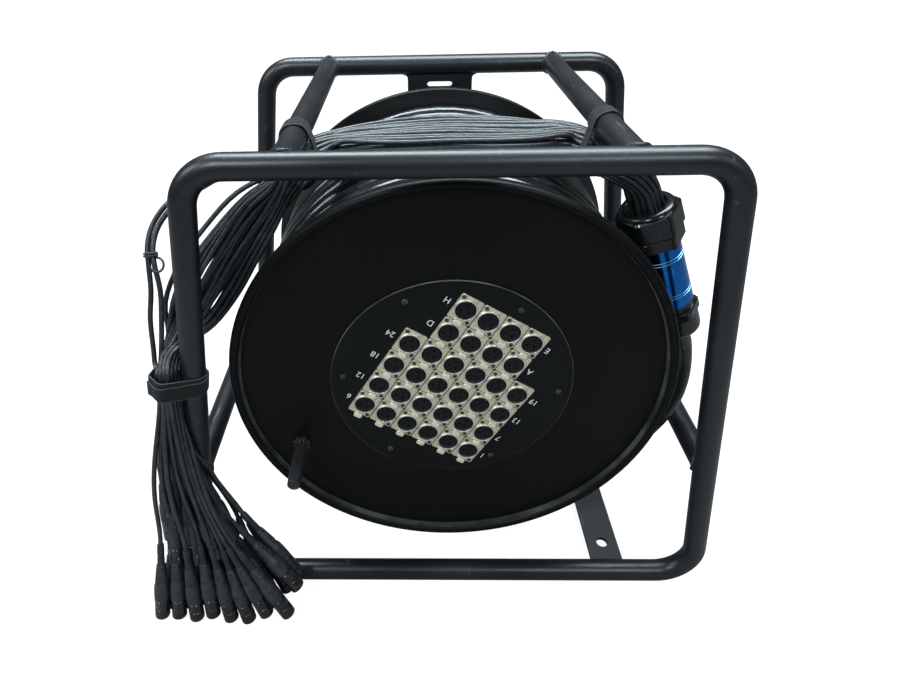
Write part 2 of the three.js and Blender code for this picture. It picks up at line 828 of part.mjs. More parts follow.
// The thumb tab that frees a plug: a stem in the plate's notch and a lip that hangs over the plate's edge
function pushLatch() {
  const lipBackY = -socketPlate - latchTravel - touchGap;
  const lipFrontY = lipBackY - latchLip;
  const stemEnd = latchStemStart + latchStemThickness;
  const lipEnd = latchStemStart + latchReach;
  const outline = new THREE.Shape();
  outline.moveTo(latchStemStart, -socketPlate + latchStemDepth);
  outline.lineTo(latchStemStart, lipFrontY + latchBevel);
  outline.lineTo(latchStemStart + latchBevel, lipFrontY);
  outline.lineTo(lipEnd - latchBevel, lipFrontY);
  outline.lineTo(lipEnd, lipFrontY + latchBevel);
  outline.lineTo(lipEnd, lipBackY);
  outline.lineTo(stemEnd, lipBackY);
  outline.lineTo(stemEnd, -socketPlate + latchStemDepth);
  const tab = new THREE.ExtrudeGeometry(outline, { depth: latchWidth, bevelEnabled: false });
  tab.translate(0, 0, -latchWidth / 2);
  // The outline's first direction goes up the panel, and the width goes across it
  tab.rotateY(-Math.PI / 2);
  return tab;
}

function buildDrum(parent) {
  const paint = finish(drumBlack, 0.5, 0.4);
  place(parent, "drum_hub", drumHub(), finish(steel, 0.45, 0.8));
  place(parent, "hub_bush", hubBush(), finish(bronze, 0.4, 0.8));
  place(parent, "front_flange", frontFlange(), paint.clone());
  place(parent, "rear_flange", rearFlange(), paint.clone());
  place(parent, "drum_barrel", drumBarrel(), paint.clone());
  const outerLayer = layerRadius - cableRadius;
  const layers = cableSleeve(barrelRadius + touchGap, outerLayer - touchGap);
  place(parent, "cable_layers", layers, finish(cableBlack, 0.3, 0));
  place(parent, "cable_winding", cableSleeve(outerLayer, outerLayer + cableDiameter), finish(cableBlack, 0.3, 0));
  const panel = new THREE.Group();
  panel.rotation.y = -panelTurn;
  parent.add(panel);
  place(panel, "connector_panel", socketPanel(), finish(nickel, 0.35, 0.8));
  for (const { name, x, z } of socketPlaces()) {
    place(panel, `latch_${name}`, pushLatch(), finish(paleNickel, 0.3, 0.8)).position.set(x, 0, z);
  }
}

// The crank's stud through the flange, with the lobed nut and the collar that hold it
function crankSpindle() {
  const outline = new THREE.Shape();
  const count = starNutLobes * starNutSteps;
  for (let k = 0; k < count; k += 1) {
    const angle = (k * Math.PI * 2) / count;
    const dip = (starNutLobeDepth * (1 + Math.cos(angle * starNutLobes))) / 2;
    const x = (starNutRadius - dip) * Math.cos(angle);
    const z = (starNutRadius - dip) * Math.sin(angle);
    if (k === 0) outline.moveTo(x, z);
    else outline.lineTo(x, z);
  }
  const nutFrontY = crankFootY - starNutThickness;
  const nut = plateFrom(outline, starNutThickness, 1).translate(0, nutFrontY, 0);
  const collarFrontY = nutFrontY - crankCollarThickness;
  const collar = barAlongY(crankCollarRadius, collarFrontY, nutFrontY + touchGap, gripSides);
  const shaftFrontY = gripFrontY + gripEndWall + turnGap;
  const shaft = turned(
    [
      [0, shaftFrontY],
      [crankShaftDiameter / 2, shaftFrontY],
      [crankShaftDiameter / 2, innerFrontY],
      [0, innerFrontY],
    ],
    gripSides,
  );
  return join(nut, collar, shaft);
}

// The sleeve that turns in the hand: a tapered tube closed at its front end
function crankGrip() {
  const bore = (crankShaftDiameter / 2 + turnGap) / Math.cos(Math.PI / gripSides);
  return turned(
    [
      [0, gripFrontY],
      [gripEndRadius - gripEdge, gripFrontY],
      [gripEndRadius, gripFrontY + gripEdge],
      [gripBaseRadius, gripBackY],
      [bore, gripBackY],
      [bore, gripFrontY + gripEndWall],
      [0, gripFrontY + gripEndWall],
    ],
    gripSides,
  );
}

function buildCrank(parent) {
  const crank = new THREE.Group();
  crank.position.set(crankX, 0, crankZ);
  parent.add(crank);
  place(crank, "crank_spindle", crankSpindle(), finish(nylonBlack, 0.35, 0.2));
  place(crank, "crank_grip", crankGrip(), finish(nylonBlack, 0.5, 0));
}

// A hexagon bar along Y, across flats
function hexBar(flats, fromY, toY) {
  return barAlongY(flats / 2, fromY, toY, 6);
}

// The aluminium sleeve over the joints between the cable and the tails, with two double grooves
function splitterTube(fromY, toY) {
  const grooves = (middle) =>
    [middle - groovePitch / 2, middle + groovePitch / 2].flatMap((y) => [
      [splitterRadius, y - grooveWidth / 2],
      [splitterRadius - grooveCut, y],
      [splitterRadius, y + grooveWidth / 2],
    ]);
  return turned(
    [
      [0, fromY],
      [splitterRadius, fromY],
      ...grooves(fromY + grooveFromEnd),
      ...grooves(toY - grooveFromEnd),
      [splitterRadius, toY],
      [0, toY],
    ],
    splitterSides,
  );
}

// The nylon gland of the tails: a hexagon body, a hexagon cap nut and a round lip with the tails' mouth
function tailGland(fromY, toY) {
  const capY = fromY + glandTopHexLength;
  const ringY = capY + glandCapLength;
  const body = hexBar(glandTopHexFlats, fromY, capY + touchGap);
  const cap = hexBar(glandCapFlats, capY, ringY);
  const lip = turned(
    [
      [0, ringY - touchGap],
      [glandRingRadius, ringY - touchGap],
      ...roundEdge(glandRingRadius - glandRingEdge, toY - glandRingEdge, glandRingEdge, 0, Math.PI / 2, edgeSteps),
      [0, toY],
    ],
    splitterSides,
  );
  const mouthRadius = (loomRadius + touchGap) / Math.cos(Math.PI / splitterSides);
  const mouth = turned(
    [
      [0, toY - glandMouthDepth],
      [mouthRadius, toY - glandMouthDepth],
      [mouthRadius, toY + overrun],
      [0, toY + overrun],
    ],
    splitterSides,
  );
  return cut(join(body, cap, lip), mouth);
}

// The nylon gland of the cable: a round neck, a hexagon body and a domed cap with the cable's mouth
function cableGland(fromY, toY) {
  const neckY = toY - glandNeckLength;
  const hexY = neckY - glandBottomHexLength;
  const neck = barAlongY(glandNeckRadius, neckY - touchGap, toY, splitterSides);
  const body = hexBar(glandBottomHexFlats, hexY, neckY);
  const cap = turned(
    [
      [0, fromY],
      ...roundEdge(
        glandDomeRadius - glandDomeEdge,
        fromY + glandDomeEdge,
        glandDomeEdge,
        -Math.PI / 2,
        0,
        edgeSteps,
      ),
      [glandDomeRadius, hexY + touchGap],
      [0, hexY + touchGap],
    ],
    splitterSides,
  );
  const mouthRadius = (cableRadius + touchGap) / Math.cos(Math.PI / leadSides);
  const mouth = turned(
    [
      [0, fromY - overrun],
      [mouthRadius, fromY - overrun],
      [mouthRadius, fromY + glandMouthDepth],
      [0, fromY + glandMouthDepth],
    ],
    splitterSides,
  );
  return cut(join(neck, body, cap), mouth);
}

function buildSplitter(parent) {
  const bottom = new THREE.Vector3(...splitterBottom);
  const top = new THREE.Vector3(...splitterTop);
  const length = bottom.distanceTo(top);
  const up = top.clone().sub(bottom).normalize();
  const splitter = new THREE.Group();
  splitter.position.copy(bottom);
  splitter.quaternion.setFromUnitVectors(new THREE.Vector3(0, 1, 0), up);
  parent.add(splitter);
  const nylon = finish(nylonBlack, 0.4, 0);
  const tubeFromY = glandBottomLength + touchGap;
  const tubeToY = length - glandTopLength - touchGap;
  place(splitter, "splitter_tube", splitterTube(tubeFromY, tubeToY), finish(anodisedBlue, 0.25, 0.9));
  place(splitter, "splitter_gland_top", tailGland(length - glandTopLength, length), nylon.clone());
  place(splitter, "splitter_gland_bottom", cableGland(0, glandBottomLength), nylon.clone());
}

// The lead's middle where it lies on the winding, after a turn of angle from where it meets it. It winds
// clockwise as seen from the front.
function leadOnWinding(angle) {
  const radius = layerRadius + cableDiameter + turnGap;
  const turn = leadMeetAngle - angle;
  const along = innerFrontY + windingEndGap + cableRadius;
  return new THREE.Vector3(radius * Math.cos(turn), along, radius * Math.sin(turn));
}

// The cable's free stretch, from the splitter's gland to where it lies on the winding
function leadPoints() {
  const bottom = new THREE.Vector3(...splitterBottom);
  const up = new THREE.Vector3(...splitterTop).sub(bottom).normalize();
  const meet = leadOnWinding(0);
  const heading = new THREE.Vector3(Math.sin(leadMeetAngle), 0, -Math.cos(leadMeetAngle));
  const wrap = [];
  for (let k = 1; k <= leadWrapSteps; k += 1) {
    wrap.push(leadOnWinding((leadWrap * k) / leadWrapSteps));
  }
  return [
    bottom.clone().addScaledVector(up, glandMouthDepth - touchGap),
    bottom.clone().addScaledVector(up, -leadStraight),
    bottom.clone().addScaledVector(up, -leadStraight - straightLead),
    ...leadRoute.map((place) => new THREE.Vector3(...place)),
    meet.clone().addScaledVector(heading, -leadEndStraight - straightLead),
    meet.clone().addScaledVector(heading, -leadEndStraight),
    meet,
    ...wrap,
  ];
}

// The loom's stations from the splitter's mouth to just under the post strap
function loomStations() {
  const bottom = new THREE.Vector3(...splitterBottom);
  const top = new THREE.Vector3(...splitterTop);
  const up = top.clone().sub(bottom).normalize();
  const round = [loomRadius, loomRadius];
  const strapStations = (x, middleY, turn) =>
    [-loomStraight, loomStraight].map((step) => [
      new THREE.Vector3(x, middleY + step * turn, loomBarZ),
      new THREE.Vector3(turn, 0, 0),
      round,
    ]);
  const postStations = [-loomStraight, loomStraight].map((step) => [
    postLoomMiddle.clone().addScaledVector(postDown, step),
    new THREE.Vector3(-1, 0, 0),
    round,
  ]);
  return [
    [top.clone().addScaledVector(up, touchGap - glandMouthDepth), new THREE.Vector3(0, 1, 0), round],
    [top.clone().addScaledVector(up, loomStraight / 2), new THREE.Vector3(0, 1, 0), round],
    ...loomToRightStrap.map(station),
    ...strapStations(topBarX, rightStrapY, 1),
    ...loomOverDrum.map(station),
    ...strapStations(-topBarX, leftStrapY, -1),
    ...loomToPostStrap.map(station),
    ...postStations,
  ];
}

// The tails from the splitter to the post, as one bundle with the two tails that bow out
function tailLoom() {
  const pair = tubeAlong(
    pairRoute.map((place) => new THREE.Vector3(...place)),
    pairRadius,
    pairSides,
    pairSteps,
  );
  return join(bundle(loomStations(), loomSides), pair);
}

// One plug with its tip at the origin, standing up along Y: metal shell, grip and ribbed boot
function plug() {
  return turned(
    [
      [0, 0],
      [plugShellRadius, 0],
      [plugGripRadius, plugGripEnd],
      [plugBootRadius, plugBootStart],
      [plugBootEndRadius, plugLength],
      [0, plugLength],
    ],
    plugSides,
  );
}

// Each plug's tip and the end of its boot
function plugPlaces() {
  return plugRowCounts.flatMap((count, row) => {
    const places = [];
    for (let k = 0; k < count; k += 1) {
      const offset = (k - (count - 1) / 2) * plugPitch;
      const tip = new THREE.Vector3(plugRowX[row] + offset, plugRowY[row], floorZ + plugRowRise[row]);
      const boot = new THREE.Vector3(
        plugRowX[row] + offset * plugGatherShare,
        plugRowY[row] + plugRowLean[row],
        tip.z + plugLength,
      );
      const up = boot.sub(tip).normalize();
      const tilt = Math.sqrt(1 - up.z * up.z);
      tip.z += plugFloorGap + plugShellRadius * tilt;
      places.push({ tip, up });
    }
    return places;
  });
}

// The tails from the post strap down, opening out to the plugs at their ends
function hangingTails() {
  const start = postLoomMiddle.clone().addScaledVector(postDown, loomStraight + touchGap);
  const stations = [
    [start, new THREE.Vector3(-1, 0, 0), [loomRadius, loomRadius]],
    [start.clone().addScaledVector(postDown, loomStraight), new THREE.Vector3(-1, 0, 0), [loomRadius, loomRadius]],
    ...loomHanging.map(station),
  ];
  const plugs = plugPlaces().map(({ tip, up }) => {
    const turn = new THREE.Quaternion().setFromUnitVectors(new THREE.Vector3(0, 1, 0), up);
    return plug().applyQuaternion(turn).translate(tip.x, tip.y, tip.z);
  });
  return join(bundle(stations, loomSides), ...plugs);
}

// A strap's section round two circles, like a belt round two pulleys: the outline that lies at a distance
// from both
function belt(one, oneRadius, other, otherRadius) {
  const between = other.clone().sub(one);
  const towards = Math.atan2(between.y, between.x);
  const open = Math.acos((oneRadius - otherRadius) / between.length());
  const points = [];
  for (let k = 0; k <= strapSteps; k += 1) {
    const angle = towards + open + ((Math.PI * 2 - open * 2) * k) / strapSteps;
    points.push(new THREE.Vector2(Math.cos(angle), Math.sin(angle)).multiplyScalar(oneRadius).add(one));
  }
  for (let k = 0; k <= strapSteps; k += 1) {
    const angle = towards - open + (open * 2 * k) / strapSteps;
    points.push(new THREE.Vector2(Math.cos(angle), Math.sin(angle)).multiplyScalar(otherRadius).add(other));
  }
  return points;
}

// A strap round a tube at the origin and a loom beside it, in the XZ plane, from y = 0
function strap(loomX, loomZ) {
  const tube = new THREE.Vector2(0, 0);
  const loom = new THREE.Vector2(loomX, loomZ);
  const slack = 1 / Math.cos(Math.PI / strapSteps / 2);
  const tubeIn = (tubeRadius / Math.cos(Math.PI / tubeSides) + touchGap) * slack;
  const loomIn = (loomRadius + strapSlack) * slack;
  const outline = new THREE.Shape(belt(tube, tubeIn + strapThickness, loom, loomIn + strapThickness));
  outline.holes.push(new THREE.Path(belt(tube, tubeIn, loom, loomIn).reverse()));
  return plateFrom(outline, strapWidth, strapSteps);
}

function buildTails(parent) {
  const sheath = finish(tailBlack, 0.6, 0);
  const band = finish(strapBlack, 0.85, 0);
  const lead = tubeAlong(leadPoints(), cableRadius, leadSides, leadSteps);
  place(parent, "cable_lead", lead, finish(cableBlack, 0.3, 0));
  place(parent, "tail_loom", tailLoom(), sheath.clone());
  place(parent, "tail_plugs", hangingTails(), sheath.clone());
  const barStrap = strap(0, loomBarZ - topTubeZ);
  const right = place(parent, "strap_right_bar", barStrap.clone(), band.clone());
  right.position.set(topBarX, rightStrapY - strapWidth / 2, topTubeZ);
  const left = place(parent, "strap_left_bar", barStrap.clone(), band.clone());
  left.position.set(-topBarX, leftStrapY - strapWidth / 2, topTubeZ);
  // The post's strap lies square to the leaning tube: its own Y runs down the tube
  const post = new THREE.Group();
  post.position.set(postStrapX, frontLoopY, postStrapRise);
  post.rotation.y = sideAngle;
  parent.add(post);
  const toLoom = postLoomMiddle.clone().sub(post.position).applyAxisAngle(new THREE.Vector3(0, 1, 0), -sideAngle);
  const postStrap = strap(toLoom.x, toLoom.y).rotateX(-Math.PI / 2);
  place(post, "strap_left_post", postStrap, band.clone()).position.z = strapWidth / 2;
}

const part = new THREE.Group();
const reel = new THREE.Group();
reel.position.set(0, -middleY, axleHeight);
part.add(reel);
buildFrame(reel);
buildStand(reel);
buildDrum(reel);
buildCrank(reel);
buildSplitter(reel);
buildTails(reel);

export default part;
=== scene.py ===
# A stage box snake on a cable drum, in metres: X to the right, Y to the back, Z up, standing on z = 0.
# A tube frame carries a drum on a rear axle. The drum's front flange holds the panel of 32 sockets.
# A splitter on the far end of the wound cable fans it out into 32 tails, each with a plug.

import math
import random

import bpy
from mathutils import Matrix, Vector
from mathutils.geometry import tessellate_polygon


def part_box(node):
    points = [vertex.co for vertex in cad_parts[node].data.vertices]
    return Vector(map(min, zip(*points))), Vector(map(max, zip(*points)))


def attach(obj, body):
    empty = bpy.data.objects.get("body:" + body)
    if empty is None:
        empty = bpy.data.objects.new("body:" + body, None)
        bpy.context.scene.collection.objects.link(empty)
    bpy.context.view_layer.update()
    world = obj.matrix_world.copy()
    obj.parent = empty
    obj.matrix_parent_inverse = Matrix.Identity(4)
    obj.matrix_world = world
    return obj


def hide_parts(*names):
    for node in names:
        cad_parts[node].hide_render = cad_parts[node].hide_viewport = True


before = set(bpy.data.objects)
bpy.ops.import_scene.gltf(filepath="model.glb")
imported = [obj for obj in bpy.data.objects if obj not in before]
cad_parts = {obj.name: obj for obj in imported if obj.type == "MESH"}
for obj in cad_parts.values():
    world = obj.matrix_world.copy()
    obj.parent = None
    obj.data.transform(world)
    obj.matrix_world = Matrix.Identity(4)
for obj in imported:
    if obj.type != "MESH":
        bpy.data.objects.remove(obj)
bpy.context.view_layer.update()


# The stand's two loops. Each is one length of inch steel tube, bent round four corners into a trapezoid that
# is wider at the floor, butt welded under the drum, blasted and powder coated in satin black.
TUBE_RADIUS = 0.0127
LOOP_TOP_HALF = 0.2393
LOOP_BOTTOM_HALF = 0.3116
LOOP_BEND = 0.042
TUBE_SIDES = 40
BEND_STEPS = 12
CREASE_ANGLE = math.radians(35)


class Field:
    """A value, colour or vector in a material. Arithmetic on it adds the nodes that work it out."""

    def __init__(self, socket):
        self.socket = socket

    def node(self, kind, settings=None, values=None, output=0):
        """Adds a node, sets it up, fills its sockets with values or links, and gives one of its outputs."""
        tree = self.socket.id_data
        made = tree.nodes.new(kind)
        for key, value in (settings or {}).items():
            setattr(made, key, value)
        for key, value in (values or {}).items():
            if isinstance(value, Field):
                tree.links.new(value.socket, made.inputs[key])
            else:
                made.inputs[key].default_value = value
        return Field(made.outputs[output])

    def into(self, name):
        """Feeds one of the shader's own sockets."""
        tree = self.socket.id_data
        tree.links.new(self.socket, tree.nodes["Principled BSDF"].inputs[name])

    def combine(self, operation, one, two):
        wide = any(isinstance(v, Vector) or isinstance(v, Field) and v.socket.type != "VALUE" for v in (one, two))
        if not wide:
            return self.node("ShaderNodeMath", {"operation": operation}, {0: one, 1: two})
        one, two = (v if isinstance(v, (Field, Vector)) else (v, v, v) for v in (one, two))
        return self.node("ShaderNodeVectorMath", {"operation": operation}, {0: one, 1: two})

    def __add__(self, other):
        return self.combine("ADD", self, other)

    def __radd__(self, other):
        return self.combine("ADD", other, self)

    def __sub__(self, other):
        return self.combine("SUBTRACT", self, other)

    def __rsub__(self, other):
        return self.combine("SUBTRACT", other, self)

    def __mul__(self, other):
        return self.combine("MULTIPLY", self, other)

    def __rmul__(self, other):
        return self.combine("MULTIPLY", other, self)

    def __abs__(self):
        return self.node("ShaderNodeMath", {"operation": "ABSOLUTE"}, {0: self})


def new_look(name, settings):
    """A material with these settings on its shader, and the place on the piece to work its pattern from."""
    material = bpy.data.materials.new(name)
    material.use_nodes = True
    tree = material.node_tree
    for key, value in settings.items():
        tree.nodes["Principled BSDF"].inputs[key].default_value = value
    return material, Field(tree.nodes.new("ShaderNodeTexCoord").outputs["Object"])


def noise(place, scale, detail=3):
    return place.node("ShaderNodeTexNoise", {}, {"Vector": place, "Scale": scale, "Detail": detail})


def reach(value, low, high, to_low=0.0, to_high=1.0):
    """The value's way from low to high, as the way from to_low to to_high."""
    ends = {"From Min": low, "From Max": high, "To Min": to_low, "To Max": to_high}
    return value.node("ShaderNodeMapRange", {}, {"Value": value, **ends})


def blend(mask, one, other):
    """The one colour where the mask is 0, and the other where it is 1."""
    one, other = (v if isinstance(v, Field) else (*v, 1) for v in (one, other))
    return mask.node("ShaderNodeMix", {"data_type": "RGBA"}, {0: mask, 6: one, 7: other}, 2)


def relief(height, distance, under=None):
    """The surface's own direction, made uneven by a height."""
    values = {"Height": height, "Distance": distance}
    if under:
        values["Normal"] = under
    return height.node("ShaderNodeBump", {}, values)


def tube(middles, radii, sides, closed=False, outs=None):
    """Rings of points round a route, and the faces of their skin, with open ends capped."""
    count = len(middles)
    out = None
    points = []
    for i, middle in enumerate(middles):
        ahead = middles[(i + 1) % count] if closed or i + 1 < count else middle
        behind = middles[i - 1] if closed or i else middle
        along = (ahead - behind).normalized()
        out = outs[i] if outs else out or along.orthogonal()
        out = (out - along * out.dot(along)).normalized()
        over = along.cross(out)
        for k in range(sides):
            angle = 2 * math.pi * k / sides
            points.append(middle + (out * math.cos(angle) + over * math.sin(angle)) * radii[i])
    return points, skin(count, sides, closed)


def skin(rings, sides, closed):
    """The faces between rings of points that follow each other."""
    faces = []
    for i in range(rings if closed else rings - 1):
        here, ahead = i * sides, (i + 1) % rings * sides
        for k in range(sides):
            after = (k + 1) % sides
            faces.append((here + k, here + after, ahead + after, ahead + k))
    if not closed:
        faces.append(tuple(reversed(range(sides))))
        faces.append(tuple(range((rings - 1) * sides, rings * sides)))
    return faces


def flipped(faces):
    """The faces as seen from their other side."""
    return [tuple(reversed(face)) for face in faces]


def solid(name, parts, *looks):
    """A mesh of several skins, each given as its points, its faces and, if not the first, which look it has."""
    points, faces, which = [], [], []
    for part_points, part_faces, *look in parts:
        first = len(points)
        points += part_points
        faces += [tuple(first + k for k in face) for face in part_faces]
        which += (look or [0]) * len(part_faces)
    mesh = bpy.data.meshes.new(name)
    mesh.from_pydata(points, [], faces)
    mesh.polygons.foreach_set("material_index", which)
    mesh.shade_smooth()
    mesh.set_sharp_from_angle(angle=CREASE_ANGLE)
    for look in looks:
        mesh.materials.append(look)
    return mesh


def fit(name, mesh, body, at=Matrix(), replaces=()):
    """Puts a piece in its place on a body."""
    piece = bpy.data.objects.new(name, mesh)
    bpy.context.scene.collection.objects.link(piece)
    piece.matrix_world = at
    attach(piece, body)
    if replaces:
        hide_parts(*replaces)
    return piece


def loop_route(y, low_z, high_z):
    """The middle of a loop's tube, round its four bends."""
    corners = [
        Vector((-LOOP_BOTTOM_HALF, low_z)),
        Vector((LOOP_BOTTOM_HALF, low_z)),
        Vector((LOOP_TOP_HALF, high_z)),
        Vector((-LOOP_TOP_HALF, high_z)),
    ]
    route = []
    for i, corner in enumerate(corners):
        before = (corner - corners[i - 1]).normalized()
        after = (corners[(i + 1) % 4] - corner).normalized()
        out_before, out_after = Vector((before.y, -before.x)), Vector((after.y, -after.x))
        centre = corner - (out_before + out_after) * (LOOP_BEND / (1 + out_before.dot(out_after)))
        start = math.atan2(out_before.y, out_before.x)
        sweep = math.acos(out_before.dot(out_after))
        for k in range(BEND_STEPS + 1):
            angle = start + sweep * k / BEND_STEPS
            x, z = centre.x + LOOP_BEND * math.cos(angle), centre.y + LOOP_BEND * math.sin(angle)
            route.append(Vector((x, y, z)))
    return route


# Baked powder is slightly cloudy, with a fine orange peel and thin rub marks.
frame_paint, place = new_look("satin_powder_coat", {"Specular IOR Level": 0.55})
cloud = reach(noise(place, 9), 0.35, 0.65)
rub = reach(noise(place * Vector((1, 0.12, 1)), 130, 5), 0.66, 0.74)
coat = blend(cloud, (0.007, 0.0085, 0.0105), (0.012, 0.0145, 0.017))
blend(rub * 0.35, coat, (0.12, 0.12, 0.12)).into("Base Color")
(reach(cloud, 0, 1, 0.31, 0.39) + rub * 0.12).into("Roughness")
relief(noise(place, 700), 0.00009).into("Normal")
loop_middles = {}
for node in ("front_loop", "rear_loop"):
    low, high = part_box(node)
    loop_middles[node] = (low + high) / 2
    route = loop_route(loop_middles[node].y, low.z + TUBE_RADIUS, high.z - TUBE_RADIUS)
    mesh = solid(node, [tube(route, [TUBE_RADIUS] * len(route), TUBE_SIDES, closed=True)], frame_paint)
    fit(node + "_tube", mesh, "stand", replaces=[node])
loop_low_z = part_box("front_loop")[0].z + TUBE_RADIUS
loop_high_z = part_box("front_loop")[1].z - TUBE_RADIUS
POST_SLOPE = (LOOP_BOTTOM_HALF - LOOP_TOP_HALF) / (loop_high_z - loop_low_z)


# The four crossbars between the loops. Each is the same tube, coped at both ends to sit on the loops, with a
# fillet weld all round that is left as welded under the paint.
BEAD_RADIUS = 0.0023
BEAD_LIFT = 0.1
BEAD_RIPPLE = 0.1
BEAD_RIPPLES = 34
BEAD_STEPS = 136


def saddle(angle, lean):
    """How far from a loop's middle a crossbar's edge lies, at an angle round the crossbar."""
    return TUBE_RADIUS * abs(math.cos(angle - lean))


def crossbar(x, z, lean):
    """A coped tube along Y and its two weld beads."""
    front, rear = loop_middles["front_loop"].y, loop_middles["rear_loop"].y
    angles = [2 * math.pi * k / TUBE_SIDES for k in range(TUBE_SIDES)]
    rings = [(front, 1), (front + 2 * TUBE_RADIUS, 0), (rear - 2 * TUBE_RADIUS, 0), (rear, -1)]
    points = []
    for y, way in rings:
        for angle in angles:
            round_bar = Vector((math.cos(angle), 0, math.sin(angle))) * TUBE_RADIUS
            points.append(Vector((x, y + way * saddle(angle, lean), z)) + round_bar)
    parts = [(points, flipped(skin(len(rings), TUBE_SIDES, False)))]
    for y, way in ((front, 1), (rear, -1)):
        middles, outs, radii = [], [], []
        for k in range(BEAD_STEPS):
            angle = 2 * math.pi * k / BEAD_STEPS
            out = Vector((math.cos(angle), 0, math.sin(angle)))
            away = math.hypot(saddle(angle, lean), BEAD_RADIUS)
            middles.append(Vector((x, y + way * away, z)) + out * (TUBE_RADIUS + BEAD_RADIUS * BEAD_LIFT))
            outs.append(out)
            radii.append(BEAD_RADIUS * (1 + BEAD_RIPPLE * math.sin(BEAD_RIPPLES * angle)))
        parts.append(tube(middles, radii, 10, True, outs))
    return parts


for node in ("top_crossbar_left", "top_crossbar_right", "bottom_crossbar_left", "bottom_crossbar_right"):
    low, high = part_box(node)
    middle = (low + high) / 2
    post = math.pi / 2 + math.copysign(math.atan(POST_SLOPE), middle.x)
    lean = 0 if node.startswith("top") else post
    mesh = solid(node, crossbar(middle.x, middle.z, lean), frame_paint)
    fit(node + "_tube", mesh, "stand", replaces=[node])


# The bearing plate and the base bar. The plate is flame-cut flat steel with a turned boss for the axle, welded
# upright between the rear loop's tubes; the bar lies between the loops' feet and has one hole to bolt it down.
EDGE_BREAK = 0.0007
EDGE_ANGLE = math.radians(40)


def break_edges(node, width, look):
    """Keeps a CAD node as it is, with its sharp edges broken and a material of its own."""
    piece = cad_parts[node]
    piece.data.materials.clear()
    piece.data.materials.append(look)
    edges = piece.modifiers.new("broken_edges", "BEVEL")
    edges.width = width
    edges.segments = 2
    edges.limit_method = "ANGLE"
    edges.angle_limit = EDGE_ANGLE
    edges.harden_normals = True


for node in ("bearing_plate", "base_bar"):
    break_edges(node, EDGE_BREAK, frame_paint)


# The axle bolt, the drum's hub and its bush. All three are turned: the bolt and the hub from steel left bright
# under a film of oil, the bush from bronze. They sit behind the panel, and only the rear shows them.
def turned_metal(name, dark, pale, roughness):
    """Fine tool marks round the Y axis, and a film of oil in patches."""
    material, place = new_look(name, {"Metallic": 1.0})
    marks = noise(place * Vector((60, 1500, 60)), 1, 2)
    film = reach(noise(place, 60), 0.4, 0.6)
    blend(film, dark, pale).into("Base Color")
    reach(marks, 0.3, 0.7, roughness, roughness + 0.15).into("Roughness")
    relief(marks, 0.00003).into("Normal")
    return material


plain_steel = turned_metal("oiled_steel", (0.36, 0.36, 0.37), (0.5, 0.5, 0.51), 0.28)
bush_bronze = turned_metal("bush_bronze", (0.42, 0.25, 0.1), (0.55, 0.36, 0.16), 0.3)
break_edges("axle", EDGE_BREAK, plain_steel)
break_edges("drum_hub", EDGE_BREAK, plain_steel)
break_edges("hub_bush", EDGE_BREAK / 2, bush_bronze)


# The drum's two flanges and its barrel. The flanges are spun from 2 mm sheet with their rims rolled into a bead,
# and the barrel is rolled sheet; all three are painted near black, the rear flange glossier than the others. A pale
# ring painted at the foot of the bead, broken up by noise, is a painted highlight.
FLANGE_RADIUS = 0.2375
FLANGE_THICKNESS = 0.002
ROLL_RADIUS = 0.0052
ROLL_LEAD = 0.0048
FRONT_OPENING = 0.104
HUB_HOLE = 0.0303
PANEL_THICKNESS = 0.002
FIT_GAP = 0.0003
ROUND_STEPS = 160
DRUM_TONES = ((0.0022, 0.0023, 0.0023), (0.0036, 0.0036, 0.0033))

axle_low, axle_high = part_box("axle")
AXIS = Vector((0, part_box("connector_panel")[1].y - PANEL_THICKNESS, (axle_low.z + axle_high.z) / 2))
AT_AXIS = Matrix.Translation(AXIS)


def lathe(outline, steps, closed=False, flutes=0):
    """Rows of radius and place along Y, and the flutes' depth where there are any, turned about the Y axis."""
    points, rows = [], []
    for radius, along, *depth in outline:
        if radius < 1e-7:
            rows.append([len(points)] * steps)
            points.append(Vector((0, along, 0)))
            continue
        rows.append(list(range(len(points), len(points) + steps)))
        for k in range(steps):
            angle = 2 * math.pi * k / steps
            out = radius - sum(depth) * (0.5 + 0.5 * math.cos(flutes * angle))
            points.append(Vector((out * math.cos(angle), along, out * math.sin(angle))))
    faces = []
    for one, two in zip(rows, rows[1:] + rows[:1] if closed else rows[1:]):
        for k in range(steps):
            n = (k + 1) % steps
            face = tuple(dict.fromkeys((one[k], two[k], two[n], one[n])))
            if len(face) > 2:
                faces.append(face)
    return points, faces


def arc(radius, along, edge, start, end, steps=8):
    """A round stretch of a turned outline, between two angles in degrees about its own middle."""
    angles = [math.radians(start + (end - start) * k / steps) for k in range(steps + 1)]
    return [(radius + edge * math.cos(a), along + edge * math.sin(a)) for a in angles]


def from_middle(place):
    """The distance from the Y axis, whatever the place along it."""
    flat = place * Vector((1, 0, 1))
    return place.node("ShaderNodeVectorMath", {"operation": "LENGTH"}, {0: flat}, "Value")


def mottled(name, settings, patches, tones, roughness, grain=None, shine=None):
    """A material in two tones: its patches' scale, detail and edges, then the roughness from one tone to the other,
    and the scale and height of a fine grain. Where shine is a scale, the roughness has patches of its own."""
    material, place = new_look(name, settings)
    scale, detail, low, high = patches
    mask = reach(noise(place, scale, detail), low, high)
    blend(mask, *tones).into("Base Color")
    rough = reach(noise(place, shine), 0.3, 0.7, *roughness) if shine else reach(mask, 0, 1, *roughness)
    rough.into("Roughness")
    if grain:
        relief(noise(place, grain[0]), grain[1]).into("Normal")
    return material


